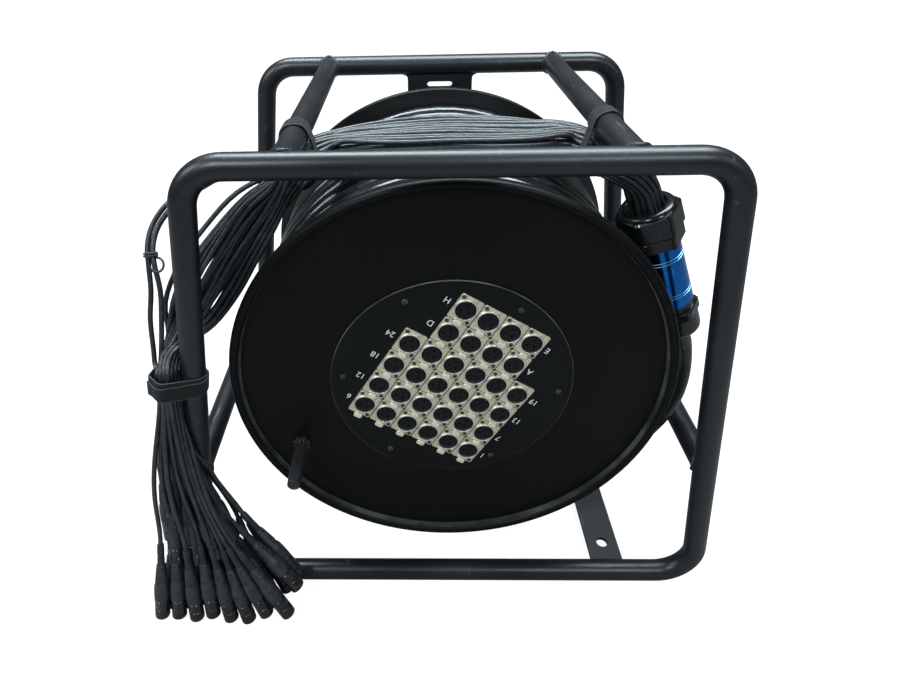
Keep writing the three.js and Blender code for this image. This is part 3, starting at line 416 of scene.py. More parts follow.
drum_paint, place = new_look("drum_paint", {"Specular IOR Level": 0.16})
cloud = reach(noise(place, 7), 0.35, 0.65)
# A pale ring painted at the foot of the bead, broken up by noise: a painted highlight along the crease there.
foot_highlight_mask = reach(abs(from_middle(place) - (FLANGE_RADIUS - 2 * ROLL_RADIUS - 0.0003)), 0.0009, 0.0003)
painted_foot_highlight = foot_highlight_mask * reach(noise(place, 16, 4), 0.42, 0.6, 0.25, 0.8)
blend(painted_foot_highlight, blend(cloud, *DRUM_TONES), (0.09, 0.095, 0.095)).into("Base Color")
reach(cloud, 0, 1, 0.42, 0.5).into("Roughness")
relief(noise(place, 650), 0.00006).into("Normal")
rear_paint = mottled(
    "rear_flange_paint", {"Specular IOR Level": 0.9}, (7, 3, 0.35, 0.65), DRUM_TONES, (0.3, 0.36), (650, 0.00006))

roll_middle = FLANGE_RADIUS - ROLL_RADIUS
foot = roll_middle - ROLL_RADIUS


def flange(hole):
    """The sheet, its rolled bead, and the crease at the bead's foot, with its outer face at y = 0."""
    return [
        (hole, FLANGE_THICKNESS),
        (hole, 0),
        (foot - 0.0016, 0),
        (foot - 0.0009, -0.0006),
        (foot - 0.0002, -0.0006),
        (foot, -0.0012),
        *arc(roll_middle, -ROLL_LEAD, ROLL_RADIUS, -180, 0, 20),
        (FLANGE_RADIUS, -0.0004),
        (FLANGE_RADIUS - 0.0008, FLANGE_THICKNESS),
    ]


front_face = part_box("front_flange")[1].y - FLANGE_THICKNESS - AXIS.y
outline = [(r, front_face + y) for r, y in flange(FRONT_OPENING)]
mesh = solid("front_flange", [lathe(outline, ROUND_STEPS, True)], drum_paint)
fit("front_flange_spun", mesh, "drum", AT_AXIS, ["front_flange"])
rear_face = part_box("rear_flange")[0].y + FLANGE_THICKNESS - AXIS.y
outline = [(r, rear_face - y) for r, y in reversed(flange(HUB_HOLE))]
mesh = solid("rear_flange", [lathe(outline, ROUND_STEPS, True)], rear_paint)
fit("rear_flange_spun", mesh, "drum", AT_AXIS, ["rear_flange"])
break_edges("drum_barrel", EDGE_BREAK / 2, drum_paint)


# The wound multicore cable. It is 24 mm across in a soft glossy black jacket, and lies in layers on the barrel;
# the outer layer's eleven turns go from the front to the back, and the layer below fills the gaps between them.
CABLE_RADIUS = 0.012
CABLE_WANDER = 0.0004
CABLE_SINK = 0.0006
OUTER_LAYER = 0.2105
LAYER_TURNS = 11
LAYER_END_GAP = 0.0006
TURN_STEPS = 60
MEET_ANGLE = math.radians(-46)
MEET_WRAP = math.radians(24)

inner_front = front_face + FLANGE_THICKNESS + LAYER_END_GAP + CABLE_RADIUS
inner_rear = rear_face - FLANGE_THICKNESS - LAYER_END_GAP - CABLE_RADIUS


def turns(radius, first, last, count, start):
    """The middle of a layer of turns, sunk or moved aside a little here and there as a hand-wound one is."""
    wander = random.Random(round(radius * 1e5))
    sway = [wander.uniform(0, 2 * math.pi) for _ in range(2)]
    route = []
    for i in range(count * TURN_STEPS + 1):
        angle = 2 * math.pi * i / TURN_STEPS
        along = first + (last - first) * i / (count * TURN_STEPS)
        along += CABLE_WANDER * math.sin(1.7 * angle + sway[0]) * (0 < i < count * TURN_STEPS)
        high = radius - CABLE_SINK + CABLE_SINK * math.sin(0.63 * angle + sway[1])
        place = start - angle
        route.append(Vector((high * math.cos(place), along, high * math.sin(place))))
    return route


cable_jacket = mottled(
    "cable_jacket", {"Specular IOR Level": 0.5}, (24, 5, 0.45, 0.75),
    ((0.007, 0.008, 0.0085), (0.02, 0.022, 0.023)), (0.13, 0.28), (420, 0.00012))
route = turns(OUTER_LAYER, inner_front, inner_rear, LAYER_TURNS, MEET_ANGLE - MEET_WRAP)
mesh = solid("wound_cable_outer", [tube(route, [CABLE_RADIUS] * len(route), 20)], cable_jacket)
fit("wound_cable_outer", mesh, "drum", AT_AXIS, ["cable_winding"])
pitch = (inner_rear - inner_front) / LAYER_TURNS
below = OUTER_LAYER - math.sqrt(4 * CABLE_RADIUS ** 2 - pitch ** 2 / 4)
route = turns(below, inner_front + pitch / 2, inner_rear - pitch / 2, LAYER_TURNS - 1, 0)
mesh = solid("wound_cable_inner", [tube(route, [CABLE_RADIUS] * len(route), 12)], cable_jacket)
fit("wound_cable_inner", mesh, "drum", AT_AXIS, ["cable_layers"])


# The socket panel: a 2 mm steel disc, painted and held on the flange by six button-head screws. It stands turned,
# as the drum came to rest. White numbers and letters are screen printed beside the ends of the rows.
PANEL_TURN = 2.595
PANEL_RADIUS = 0.13
SCREW_CIRCLE = 0.11665
SCREW_START = -0.05
SCREW_COUNT = 6
SCREW_RADIUS = 0.0034
RECESS_DEPTH = 0.75
SOCKET_PITCH_X = 0.027
SOCKET_PITCH_Z = 0.032
SOCKET_GRID = (-0.00074, -0.00895)
SOCKET_ROWS = (6, 6, 6, 6, 4, 4)
LABEL_HEIGHT = 0.0072
FONT_BODY = 1.4
LABEL_GAP = 0.0042
LABEL_LIFT = 0.00008

AT_PANEL = AT_AXIS @ Matrix.Rotation(-PANEL_TURN, 4, "Y")
FACE_FRONT = Matrix.Rotation(math.pi / 2, 4, "X")

panel_paint, place = new_look("panel_paint", {"Specular IOR Level": 0.18})
cloud = reach(noise(place, 12), 0.35, 0.65)
edge = reach(from_middle(place), PANEL_RADIUS - 0.0007, PANEL_RADIUS - 0.0003)
worn = edge * reach(noise(place, 22, 4), 0.4, 0.62, 0.3, 1)
blend(worn, blend(cloud, (0.0026, 0.003, 0.003), (0.004, 0.0046, 0.0045)), (0.16, 0.16, 0.155)).into("Base Color")
reach(cloud, 0, 1, 0.36, 0.44).into("Roughness")
relief(noise(place, 900), 0.00005).into("Normal")
outline = [
    (0, 0),
    (PANEL_RADIUS - 0.0004, 0),
    (PANEL_RADIUS, 0.0004),
    (PANEL_RADIUS, PANEL_THICKNESS),
    (0, PANEL_THICKNESS),
]
mesh = solid("socket_panel", [lathe(outline, ROUND_STEPS)], panel_paint)
fit("socket_panel_disc", mesh, "drum", AT_PANEL, ["connector_panel"])


def flat_face(loops, y):
    """A flat face that looks to -Y, inside the first loop of x and z and outside the others."""
    rings = [[Vector((x, y, z)) for x, z in loop] for loop in loops]
    points = [point for ring in rings for point in ring]
    faces = []
    for a, b, c in tessellate_polygon(rings):
        turned = (points[b] - points[a]).cross(points[c] - points[a])
        if turned.length > 1e-12:
            faces.append((a, b, c) if turned.y < 0 else (a, c, b))
    return points, faces


def bridge(one, one_y, two, two_y):
    """The faces between two loops of x and z with as many points: an outside where the second is nearer the front."""
    points = [Vector((x, one_y, z)) for x, z in one] + [Vector((x, two_y, z)) for x, z in two]
    count = len(one)
    return points, [(k, (k + 1) % count, count + (k + 1) % count, count + k) for k in range(count)]


def moved(part, by):
    """A part's points and faces, with the points moved."""
    points, faces = part
    return [point + by for point in points], faces


def round_loop(radius, steps, x=0.0, z=0.0, start=0.0):
    """A circle of x and z, counterclockwise from the front."""
    angles = [start + 2 * math.pi * k / steps for k in range(steps)]
    return [(x + radius * math.cos(a), z + radius * math.sin(a)) for a in angles]


def screw(radius, dome, recess, socket_sides, x=0.0, z=0.0):
    """A screw's head round a recess for its driver, standing ahead of y = 0."""
    hole = round_loop(recess, socket_sides, x, z)
    bottom = dome * (RECESS_DEPTH - 1)
    return [
        moved(lathe(arc(radius - dome, 0, dome, -90, 0, 5), 28), Vector((x, 0, z))),
        flat_face([round_loop(radius - dome, 28, x, z), hole], -dome),
        bridge(hole, -dome, hole, bottom),
        flat_face([hole], bottom),
    ]


black_steel = mottled(
    "blackened_steel", {"Metallic": 0.6, "Specular IOR Level": 0.5}, (300, 3, 0.5, 0.7),
    ((0.05, 0.052, 0.053), (0.14, 0.14, 0.14)), (0.3, 0.42))
heads = []
for x, z in round_loop(SCREW_CIRCLE, SCREW_COUNT, start=SCREW_START + PANEL_TURN):
    heads += screw(SCREW_RADIUS, 0.0012, 0.0017, 6, x, z)
fit("panel_screws", solid("panel_screws", heads, black_steel), "drum", AT_PANEL)

label_ink, place = new_look("label_ink", {"Roughness": 0.55})
blend(reach(noise(place, 900), 0.55, 0.75), (0.72, 0.72, 0.7), (0.45, 0.45, 0.44)).into("Base Color")
spots = []
for row, count in enumerate(SOCKET_ROWS):
    for k in range(count):
        x = SOCKET_GRID[0] + (k - (count - 1) / 2) * SOCKET_PITCH_X
        z = SOCKET_GRID[1] + (2.5 - row) * SOCKET_PITCH_Z
        spots.append((str(len(spots) + 1) if row < 4 else "ABCDEFGH"[len(spots) - 24], x, z, k, count))
for words, x, z, k, count in spots:
    if 0 < k < count - 1:
        continue
    side = 1 if k else -1
    x += side * (SOCKET_PITCH_X / 2 + LABEL_GAP)
    text = bpy.data.curves.new("label", "FONT")
    text.body = words
    text.size = LABEL_HEIGHT * FONT_BODY
    text.align_x = "LEFT" if side > 0 else "RIGHT"
    text.align_y = "CENTER"
    text.extrude = LABEL_LIFT
    stand_in = bpy.data.objects.new("label", text)
    mesh = bpy.data.meshes.new_from_object(stand_in)
    bpy.data.objects.remove(stand_in)
    bpy.data.curves.remove(text)
    mesh.materials.clear()
    mesh.materials.append(label_ink)
    fit(f"label_{words}", mesh, "drum", AT_PANEL @ Matrix.Translation((x, 0, z)) @ FACE_FRONT)


# The 32 sockets. Each has a die-cast nickel-plated plate with a polished raised ring, a black insert with three
# contacts inside the ring, and two blackened screws at opposite corners that hold it to the panel.
PLATE_WIDTH = 0.026
PLATE_HEIGHT = 0.031
PLATE_DEPTH = 0.002
PLATE_CORNER = 0.0016
PLATE_EDGE = 0.00035
RING_OUTER = 0.0127
RING_INNER = 0.0108
RING_RISE = 0.0014
RING_EDGE = 0.0011
INNER_EDGE = 0.0004
INSERT_RADIUS = 0.0094
INSERT_SINK = 0.0014
GROOVE_DEPTH = 0.0026
CONTACT_CIRCLE = 0.0048
CONTACT_RADIUS = 0.0014
CONTACT_DEPTH = 0.004
CONTACT_SINK = 0.0008
CORNER_SCREW = (0.0096, -0.0123)
CORNER_SCREW_RADIUS = 0.0023
SOCKET_STEPS = 72
# The socket's looks in their order on its mesh.
PLATE, INSERT, CONTACT, SCREWS, RING = range(5)

nickel = mottled(
    "socket_nickel", {"Metallic": 0.7}, (260, 4, 0.35, 0.7),
    ((0.84, 0.79, 0.6), (0.62, 0.56, 0.4)), (0.36, 0.48), (2600, 0.00003))
polished = mottled(
    "polished_ring", {"Metallic": 1.0}, (420, 4, 0.4, 0.7),
    ((1.0, 0.98, 0.9), (0.86, 0.82, 0.7)), (0.36, 0.5), shine=600)
insert_black, place = new_look("insert_black", {"Base Color": (0.006, 0.006, 0.007, 1), "Specular IOR Level": 0.2})
reach(noise(place, 500), 0.3, 0.7, 0.32, 0.5).into("Roughness")
relief(noise(place, 1800), 0.00002).into("Normal")
contact_metal = mottled(
    "contact_metal", {"Metallic": 1.0}, (700, 3, 0, 1), ((0.5, 0.38, 0.17), (0.36, 0.3, 0.2)), (0.25, 0.4), shine=900)


def plate_outline(half_width, half_height, corner, steps):
    """A rectangle of x and z with round corners, as many points as steps, evenly round the middle."""
    loop = []
    for k in range(steps):
        angle = 2 * math.pi * (k + 0.5) / steps
        x, z = math.cos(angle), math.sin(angle)
        grow = min(half_width / max(abs(x), 1e-9), half_height / max(abs(z), 1e-9))
        x, z = x * grow, z * grow
        inner_x, inner_z = half_width - corner, half_height - corner
        if abs(x) > inner_x and abs(z) > inner_z:
            away = Vector((abs(x) - inner_x, abs(z) - inner_z)).normalized() * corner
            x, z = math.copysign(inner_x + away.x, x), math.copysign(inner_z + away.y, z)
        loop.append((x, z))
    return loop


def socket_parts():
    """The plate's rim and face, the ring, the insert with its three contacts, and the two screws."""
    shoulder = PLATE_EDGE / math.sqrt(2)
    outer = plate_outline(PLATE_WIDTH / 2, PLATE_HEIGHT / 2, PLATE_CORNER, SOCKET_STEPS)
    inner = plate_outline(PLATE_WIDTH / 2 - shoulder, PLATE_HEIGHT / 2 - shoulder, PLATE_CORNER, SOCKET_STEPS)
    ring_foot = round_loop(RING_OUTER, SOCKET_STEPS, start=math.pi / SOCKET_STEPS)
    ring_top = -PLATE_DEPTH - RING_RISE
    insert_y = ring_top + INSERT_SINK
    ring = [
        (RING_INNER, insert_y + GROOVE_DEPTH),
        *reversed(arc(RING_INNER + INNER_EDGE, ring_top + INNER_EDGE, INNER_EDGE, -90, -180, 4)),
        *arc(RING_OUTER - RING_EDGE, ring_top + RING_EDGE, RING_EDGE, -90, 0, 6),
        (RING_OUTER, -PLATE_DEPTH + 0.0002),
    ]
    insert = [
        *arc(INSERT_RADIUS - INNER_EDGE, insert_y + INNER_EDGE, INNER_EDGE, -90, 0, 3),
        (INSERT_RADIUS, insert_y + GROOVE_DEPTH),
        (RING_INNER, insert_y + GROOVE_DEPTH),
    ]
    contacts = [round_loop(CONTACT_RADIUS, 16, x, z) for x, z in round_loop(CONTACT_CIRCLE, 3, start=math.pi / 6)]
    parts = [
        (*bridge(outer, 0, outer, -PLATE_DEPTH + shoulder), PLATE),
        (*bridge(outer, -PLATE_DEPTH + shoulder, inner, -PLATE_DEPTH), PLATE),
        (*bridge(inner, -PLATE_DEPTH, ring_foot, -PLATE_DEPTH), PLATE),
        (*lathe(ring, 64), RING),
        (*lathe(insert, 48), INSERT),
        (*flat_face([round_loop(INSERT_RADIUS - INNER_EDGE, 48), *contacts], insert_y), INSERT),
    ]
    for hole in contacts:
        sleeve_y, end_y = insert_y + CONTACT_SINK, insert_y + CONTACT_DEPTH
        parts.append((*bridge(hole, insert_y, hole, sleeve_y), INSERT))
        parts.append((*bridge(hole, sleeve_y, hole, end_y), CONTACT))
        parts.append((*flat_face([hole], end_y), INSERT))
    for way in (1, -1):
        head = screw(CORNER_SCREW_RADIUS, 0.0005, 0.0011, 6, CORNER_SCREW[0] * way, CORNER_SCREW[1] * way)
        parts += [(*moved(part, Vector((0, -PLATE_DEPTH, 0))), SCREWS) for part in head]
    return parts


socket_mesh = solid("socket", socket_parts(), nickel, insert_black, contact_metal, black_steel, polished)
sockets = []
for words, x, z, *_ in spots:
    name = words.lower() if words.isalpha() else words.zfill(2)
    sockets.append((name, AT_PANEL @ Matrix.Translation((x, 0, z))))
for name, at in sockets:
    fit(f"socket_{name}", socket_mesh, "drum", at)


# The 32 push latches, one on each socket: a pressed tab of nickel-plated steel that frees the plug. Its stem slides
# in the plate, and its crowned thumb face hangs over the plate's edge and the next socket.
TAB_WIDTH = 0.0095
TAB_FOOT = 0.0133
TAB_REACH = 0.0058
TAB_LIP = 0.0014
TAB_STEM = 0.0019
TAB_TRAVEL = 0.0015
TAB_CORNER = 0.0022
STEM_CORNER = 0.0004
STEM_DEPTH = 0.0024
RIDGE_HALF = 0.0005
RIDGE_APART = 0.0022
RIDGE_RISE = 0.0003

latch_nickel = mottled(
    "latch_nickel", {"Metallic": 0.7}, (340, 4, 0.35, 0.65),
    ((1.0, 0.98, 0.84), (0.88, 0.84, 0.68)), (0.38, 0.52), (2200, 0.00003))


def stack(levels, with_back=True):
    """Loops of x and z at their places along Y, from the back one to the front one, joined and capped."""
    parts = [bridge(*back, *front) for back, front in zip(levels, levels[1:])]
    parts.append(flat_face([levels[-1][0]], levels[-1][1]))
    if with_back:
        points, faces = flat_face([levels[0][0]], levels[0][1])
        parts.append((points, flipped(faces)))
    return parts


def tab_parts():
    """The lip with its crowned front, the stem behind it, and two ridges for the thumb."""
    lip_back = -PLATE_DEPTH - TAB_TRAVEL - FIT_GAP
    lip_front = lip_back - TAB_LIP
    ridge_front = lip_front - RIDGE_RISE
    middle = TAB_FOOT + TAB_REACH / 2
    levels = []
    for inset, y in ((0, lip_back), (0, lip_front + 0.0005), (0.0004, lip_front + 0.0001), (0.0012, lip_front)):
        loop = plate_outline(TAB_WIDTH / 2 - inset, TAB_REACH / 2 - inset, TAB_CORNER - inset, 40)
        levels.append(([(x, z + middle) for x, z in loop], y))
    parts = stack(levels)
    stem = plate_outline(TAB_WIDTH / 2 - STEM_CORNER, TAB_STEM / 2, STEM_CORNER, 24)
    stem = [(x, z + TAB_FOOT + TAB_STEM / 2) for x, z in stem]
    parts.append(bridge(stem, -PLATE_DEPTH + STEM_DEPTH, stem, lip_back))
    ridge = plate_outline(TAB_WIDTH / 2 - 0.0018, RIDGE_HALF, RIDGE_HALF, 24)
    for way in (-0.5, 0.5):
        bar = [(x, z + middle + RIDGE_APART * way) for x, z in ridge]
        parts += stack([(bar, lip_front), (bar, ridge_front)], with_back=False)
    return parts


tab_mesh = solid("latch", tab_parts(), latch_nickel)
for name, at in sockets:
    fit(f"latch_{name}_tab", tab_mesh, f"latch_{name}", at, [f"latch_{name}"])


# The crank: a steel stud through the front flange, held by a lobed glossy nut and a ribbed collar, and a moulded
# grip that turns freely on it and has a plain end cap with a raised rim.
CRANK_FROM_RIM = 0.0474
CRANK_ANGLE = 3.6111
NUT_RADIUS = 0.0108
NUT_LOBES = 8
NUT_DIP = 0.0024
NUT_THICKNESS = 0.006
COLLAR_RADIUS = 0.0086
COLLAR_THICKNESS = 0.004
COLLAR_RIBS = 3
STUD_RADIUS = 0.004
STUD_SINK = 0.0045

grip_low, grip_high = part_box("crank_grip")
GRIP_LENGTH = grip_high.y - grip_low.y
crank_arm = FLANGE_RADIUS - CRANK_FROM_RIM
crank_x, crank_z = crank_arm * math.cos(CRANK_ANGLE), crank_arm * math.sin(CRANK_ANGLE)
nut_back = front_face - FIT_GAP
at_crank = AT_AXIS @ Matrix.Translation((crank_x, 0, crank_z))
at_grip = Matrix.Translation((AXIS.x + crank_x, grip_low.y, AXIS.z + crank_z))

gloss_black = mottled(
    "gloss_black", {"Specular IOR Level": 0.5, "Coat Weight": 0.3}, (260, 4, 0.5, 0.75),
    ((0.01, 0.01, 0.011), (0.025, 0.025, 0.026)), (0.14, 0.3), (500, 0.00005))
grip_rubber = mottled(
    "grip_rubber", {"Specular IOR Level": 0.4}, (90, 4, 0.4, 0.65),
    ((0.014, 0.014, 0.015), (0.024, 0.024, 0.025)), (0.5, 0.36), (1500, 0.00006))


def lobed(radius, dip, lobes, steps):
    """A circle of x and z with rounded lobes."""
    loop = []
    for k in range(steps):
        angle = 2 * math.pi * k / steps
        out = radius - dip * (0.5 + 0.5 * math.cos(lobes * angle)) ** 1.6
        loop.append((out * math.cos(angle), out * math.sin(angle)))
    return loop


collar_back = nut_back - NUT_THICKNESS
levels = []
for inset, y in ((0.0009, nut_back), (0, nut_back - 0.0009), (0, collar_back + 0.0012), (0.0006, collar_back + 0.0004),
                 (0.0016, collar_back)):
    levels.append((lobed(NUT_RADIUS - inset, NUT_DIP, NUT_LOBES, 128), y))
parts = stack(levels, with_back=False)
collar = [(0, collar_back - COLLAR_THICKNESS)]
for k in range(COLLAR_RIBS):
    rib = collar_back - COLLAR_THICKNESS * (1 - (k + 0.5) / COLLAR_RIBS)
    collar += arc(COLLAR_RADIUS - 0.0006, rib, COLLAR_THICKNESS / (2 * COLLAR_RIBS), -90, 90, 6)
collar.append((0, collar_back))
parts.append(lathe(collar, 48))
stud_front, stud_back = grip_low.y - AXIS.y + STUD_SINK, front_face + FLANGE_THICKNESS
stud = [(0, stud_front), (STUD_RADIUS, stud_front), (STUD_RADIUS, stud_back), (0, stud_back)]
parts.append((*lathe(stud, 32), 1))
mesh = solid("crank_nut", parts, gloss_black, plain_steel)
fit("crank_nut_and_stud", mesh, "drum", at_crank, ["crank_spindle"])
grip = [
    (0, 0.0006),
    (0.0048, 0.0006),
    (0.0052, 0.0),
    *arc(0.0062, 0.0008, 0.0008, -90, 0, 4),
    (0.0072, 0.003),
    (0.0068, 0.0034),
    (0.0068, 0.004),
    (0.0072, 0.0044),
    (0.0079, GRIP_LENGTH - 0.004),
    *arc(0.0069, GRIP_LENGTH - 0.001, 0.001, 0, 90, 4),
    (0.0046, GRIP_LENGTH),
    (0.0046, 0.0042),
    (0, 0.0042),
]
mesh = solid("grip", [lathe(grip, 64)], grip_rubber)
fit("crank_grip_sleeve", mesh, "grip", at_grip, ["crank_grip"])


# The splitter: a blue anodised aluminium sleeve over the joints between the cable and the tails, with a double
# groove turned near each end, and moulded nylon glands screwed into both ends.
SPLITTER_TOP = Vector((0.1946, 0.06, 0.1816))
SPLITTER_BOTTOM = Vector((0.2631, 0.07, 0.0179))
SPLITTER_RADIUS = 0.024
GLAND_TOP_LENGTH = 0.045
GLAND_BOTTOM_LENGTH = 0.052
GLAND_BOTTOM_START = 0.008
TOP_BODY_FLATS = 0.054
TOP_BODY_LENGTH = 0.015
TOP_CAP_FLATS = 0.058
TOP_CAP_LENGTH = 0.026
TOP_LIP_RADIUS = 0.0285
TOP_LIP_EDGE = 0.006
JOINT_RADIUS = 0.0262
BOTTOM_NECK_LENGTH = 0.008
BOTTOM_NECK_RADIUS = 0.023
BOTTOM_BODY_FLATS = 0.05
BOTTOM_BODY_LENGTH = 0.012
BOTTOM_DOME_RADIUS = 0.0255
BOTTOM_DOME_EDGE = 0.007
MOUTH_DEPTH = 0.008
GROOVE_FROM_END = 0.017
GROOVE_PITCH = 0.0036
GROOVE_WIDTH = 0.0013
GROOVE_CUT = 0.0007
END_EDGE = 0.0006
HEX_STEPS = 96
HEX_CORNER = 0.562
LOOM_RADIUS = 0.0194

splitter_up = (SPLITTER_TOP - SPLITTER_BOTTOM).normalized()
splitter_length = (SPLITTER_TOP - SPLITTER_BOTTOM).length
spin = Vector((0, 1, 0)).rotation_difference(splitter_up).to_matrix().to_4x4()
at_splitter = Matrix.Translation(AXIS + SPLITTER_BOTTOM) @ spin

anodised, place = new_look("blue_anodised", {"Metallic": 1.0})
lines = noise(place * Vector((40, 2600, 40)), 1, 2)
# Pale streaks painted along the sleeve's length: a painted reflection of the lamps running along it.
painted_reflection_streaks = reach(noise(place * Vector((1, 0.08, 1)), 400, 3), 0.68, 0.72)
along = place.node("ShaderNodeSeparateXYZ", {}, {0: place}, "Y")
tube_low, tube_high = GLAND_BOTTOM_LENGTH, splitter_length - GLAND_TOP_LENGTH
grooves = []
for middle in (tube_low + GROOVE_FROM_END, tube_high - GROOVE_FROM_END):
    grooves += [middle - GROOVE_PITCH / 2, middle + GROOVE_PITCH / 2]
near = [reach(abs(along - middle), GROOVE_WIDTH * 0.55, GROOVE_WIDTH * 0.25) for middle in grooves]
cut_bright = sum(near[1:], near[0])
base = blend(reach(lines, 0.3, 0.7), (0.006, 0.11, 0.45), (0.02, 0.24, 0.78))
# The pale blue laid over the base here is the painted reflection streaks.
blend(cut_bright, blend(painted_reflection_streaks * 0.6, base, (0.35, 0.6, 0.85)), (0.45, 0.8, 1.0)).into("Base Color")
(reach(lines, 0.3, 0.7, 0.13, 0.22) + cut_bright * 0.45).into("Roughness")
relief(lines, 0.00002).into("Normal")
nylon, place = new_look("gland_nylon", {"Specular IOR Level": 0.5})
dust = reach(noise(place, 210, 5), 0.62, 0.72)
blend(dust * 0.3, (0.004, 0.0045, 0.005), (0.08, 0.08, 0.08)).into("Base Color")
reach(noise(place, 70), 0.35, 0.65, 0.16, 0.26).into("Roughness")
relief(noise(place, 320), 0.00006).into("Normal")

low_end, high_end = tube_low + FIT_GAP, tube_high - FIT_GAP
outline = [(0, low_end), (SPLITTER_RADIUS - END_EDGE, low_end), (SPLITTER_RADIUS, low_end + END_EDGE)]
for middle in grooves:
    for depth, aside in ((0, -1 / 2), (GROOVE_CUT, -1 / 5), (GROOVE_CUT, 1 / 5), (0, 1 / 2)):
        outline.append((SPLITTER_RADIUS - depth, middle + GROOVE_WIDTH * aside))
outline += [(SPLITTER_RADIUS, high_end - END_EDGE), (SPLITTER_RADIUS - END_EDGE, high_end), (0, high_end)]
mesh = solid("splitter_sleeve", [lathe(outline, 96)], anodised)
sleeve = fit("splitter_sleeve", mesh, "stand", at_splitter, ["splitter_tube"])


def hexagon(flats, low_y, high_y, edge):
    """A moulded hexagon with rounded corners and its end edges broken."""
    levels = []
    for inset, y in ((edge, high_y), (0, high_y - edge), (0, low_y + edge), (edge, low_y)):
        loop = []
        for k in range(HEX_STEPS):
            angle = 2 * math.pi * k / HEX_STEPS
            from_flat = (angle + math.pi / 6) % (math.pi / 3) - math.pi / 6
            out = min((flats / 2 - inset) / math.cos(from_flat), flats * HEX_CORNER - inset)
            loop.append((out * math.cos(angle), out * math.sin(angle)))
        levels.append((loop, y))
    return stack(levels)


cap_low = tube_high + TOP_BODY_LENGTH
lip_low = cap_low + TOP_CAP_LENGTH
parts = hexagon(TOP_BODY_FLATS, tube_high, cap_low - 0.0006, 0.0008)
joint = [(0, cap_low - 0.001), (JOINT_RADIUS, cap_low - 0.001), (JOINT_RADIUS, cap_low + 0.001), (0, cap_low + 0.001)]
parts.append(lathe(joint, 64))
parts += hexagon(TOP_CAP_FLATS, cap_low, lip_low, 0.0018)
lip = [
    (0, lip_low - 0.003),
    (TOP_LIP_RADIUS, lip_low - 0.003),
    *arc(TOP_LIP_RADIUS - TOP_LIP_EDGE, splitter_length - TOP_LIP_EDGE, TOP_LIP_EDGE, 0, 90, 12),
    *arc(LOOM_RADIUS + 0.0012, splitter_length - 0.001, 0.001, 90, 180, 4),
    (LOOM_RADIUS + 0.0002, splitter_length - MOUTH_DEPTH),
    (0, splitter_length - MOUTH_DEPTH),
]
parts.append(lathe(lip, 96))
mesh = solid("gland_top", parts, nylon)
top_gland = fit("splitter_gland_top_nut", mesh, "stand", at_splitter, ["splitter_gland_top"])
neck_low = GLAND_BOTTOM_LENGTH - BOTTOM_NECK_LENGTH
body_low = neck_low - BOTTOM_BODY_LENGTH
neck = [
    (0, neck_low - 0.001),
    (BOTTOM_NECK_RADIUS, neck_low - 0.001),
    (BOTTOM_NECK_RADIUS, GLAND_BOTTOM_LENGTH),
    (0, GLAND_BOTTOM_LENGTH),
]
parts = [lathe(neck, 96), *hexagon(BOTTOM_BODY_FLATS, body_low, neck_low, 0.0012)]
dome = [
    (0, GLAND_BOTTOM_START + MOUTH_DEPTH),
    (CABLE_RADIUS + 0.0002, GLAND_BOTTOM_START + MOUTH_DEPTH),
    (CABLE_RADIUS + 0.0002, GLAND_BOTTOM_START + 0.001),
    *arc(CABLE_RADIUS + 0.0012, GLAND_BOTTOM_START + 0.001, 0.001, 180, 270, 4),
    *arc(BOTTOM_DOME_RADIUS - BOTTOM_DOME_EDGE, GLAND_BOTTOM_START + BOTTOM_DOME_EDGE, BOTTOM_DOME_EDGE, -90, 0, 12),
    (BOTTOM_DOME_RADIUS, body_low + 0.001),
    (0, body_low + 0.001),
]
parts.append(lathe(dome, 96))
mesh = solid("gland_bottom", parts, nylon)
bottom_gland = fit("splitter_gland_bottom_nut", mesh, "stand", at_splitter, ["splitter_gland_bottom"])


# The cable's free lead, from the splitter's lower gland back onto the winding. It lies on the outer layer where it
# meets it, and dives in beside the first turn.
LEAD_STRAIGHT = 0.013
LEAD_BEFORE_BEND = 0.002
LEAD_END_STRAIGHT = 0.048
WRAP_STEPS = 6
LEAD_STEPS = 5
LEAD_RISE = 0.22435 - OUTER_LAYER
LEAD_ROUTE = [
    (0.273, 0.069, -0.016),
    (0.273, 0.063, -0.038),
    (0.267, 0.054, -0.059),
    (0.255, 0.0445, -0.077),
    (0.238, 0.035, -0.092),
    (0.216, 0.0255, -0.1085),
]


def smooth(points, per):
    """A centripetal curve through the points, with so many steps between each two."""
    ends = [points[0] * 2 - points[1], *points, points[-1] * 2 - points[-2]]
    route = [points[0]]
    for a, b, c, d in zip(ends, ends[1:], ends[2:], ends[3:]):
        t = [max((q - p).length ** 0.5, 1e-6) for p, q in ((a, b), (b, c), (c, d))]
        leave = ((b - a) / t[0] - (c - a) / (t[0] + t[1]) + (c - b) / t[1]) * t[1]
        arrive = ((c - b) / t[1] - (d - b) / (t[1] + t[2]) + (d - c) / t[2]) * t[1]
        for k in range(1, per + 1):
            s = k / per
            bend = b * (2 * s ** 3 - 3 * s ** 2 + 1) + c * (3 * s ** 2 - 2 * s ** 3)
            route.append(bend + leave * (s ** 3 - 2 * s ** 2 + s) + arrive * (s ** 3 - s ** 2))
    return route


def cord_piece(name, route, radius, look, body, replaces):
    """A free cord as a round curve. It measures its length, but nothing uses the length."""
    curve = bpy.data.curves.new(name, "CURVE")
    curve.dimensions = "3D"
    curve.bevel_depth = radius
    curve.bevel_resolution = 6
    curve.use_fill_caps = True
    curve.materials.append(look)
    line = curve.splines.new("POLY")
    line.points.add(len(route) - 1)
    for point, place in zip(line.points, route):
        point.co = (*place, 1)
    line.use_smooth = True
    piece = fit(name, curve, body, replaces=replaces)
    long = sum((q - p).length for p, q in zip(route, route[1:]))


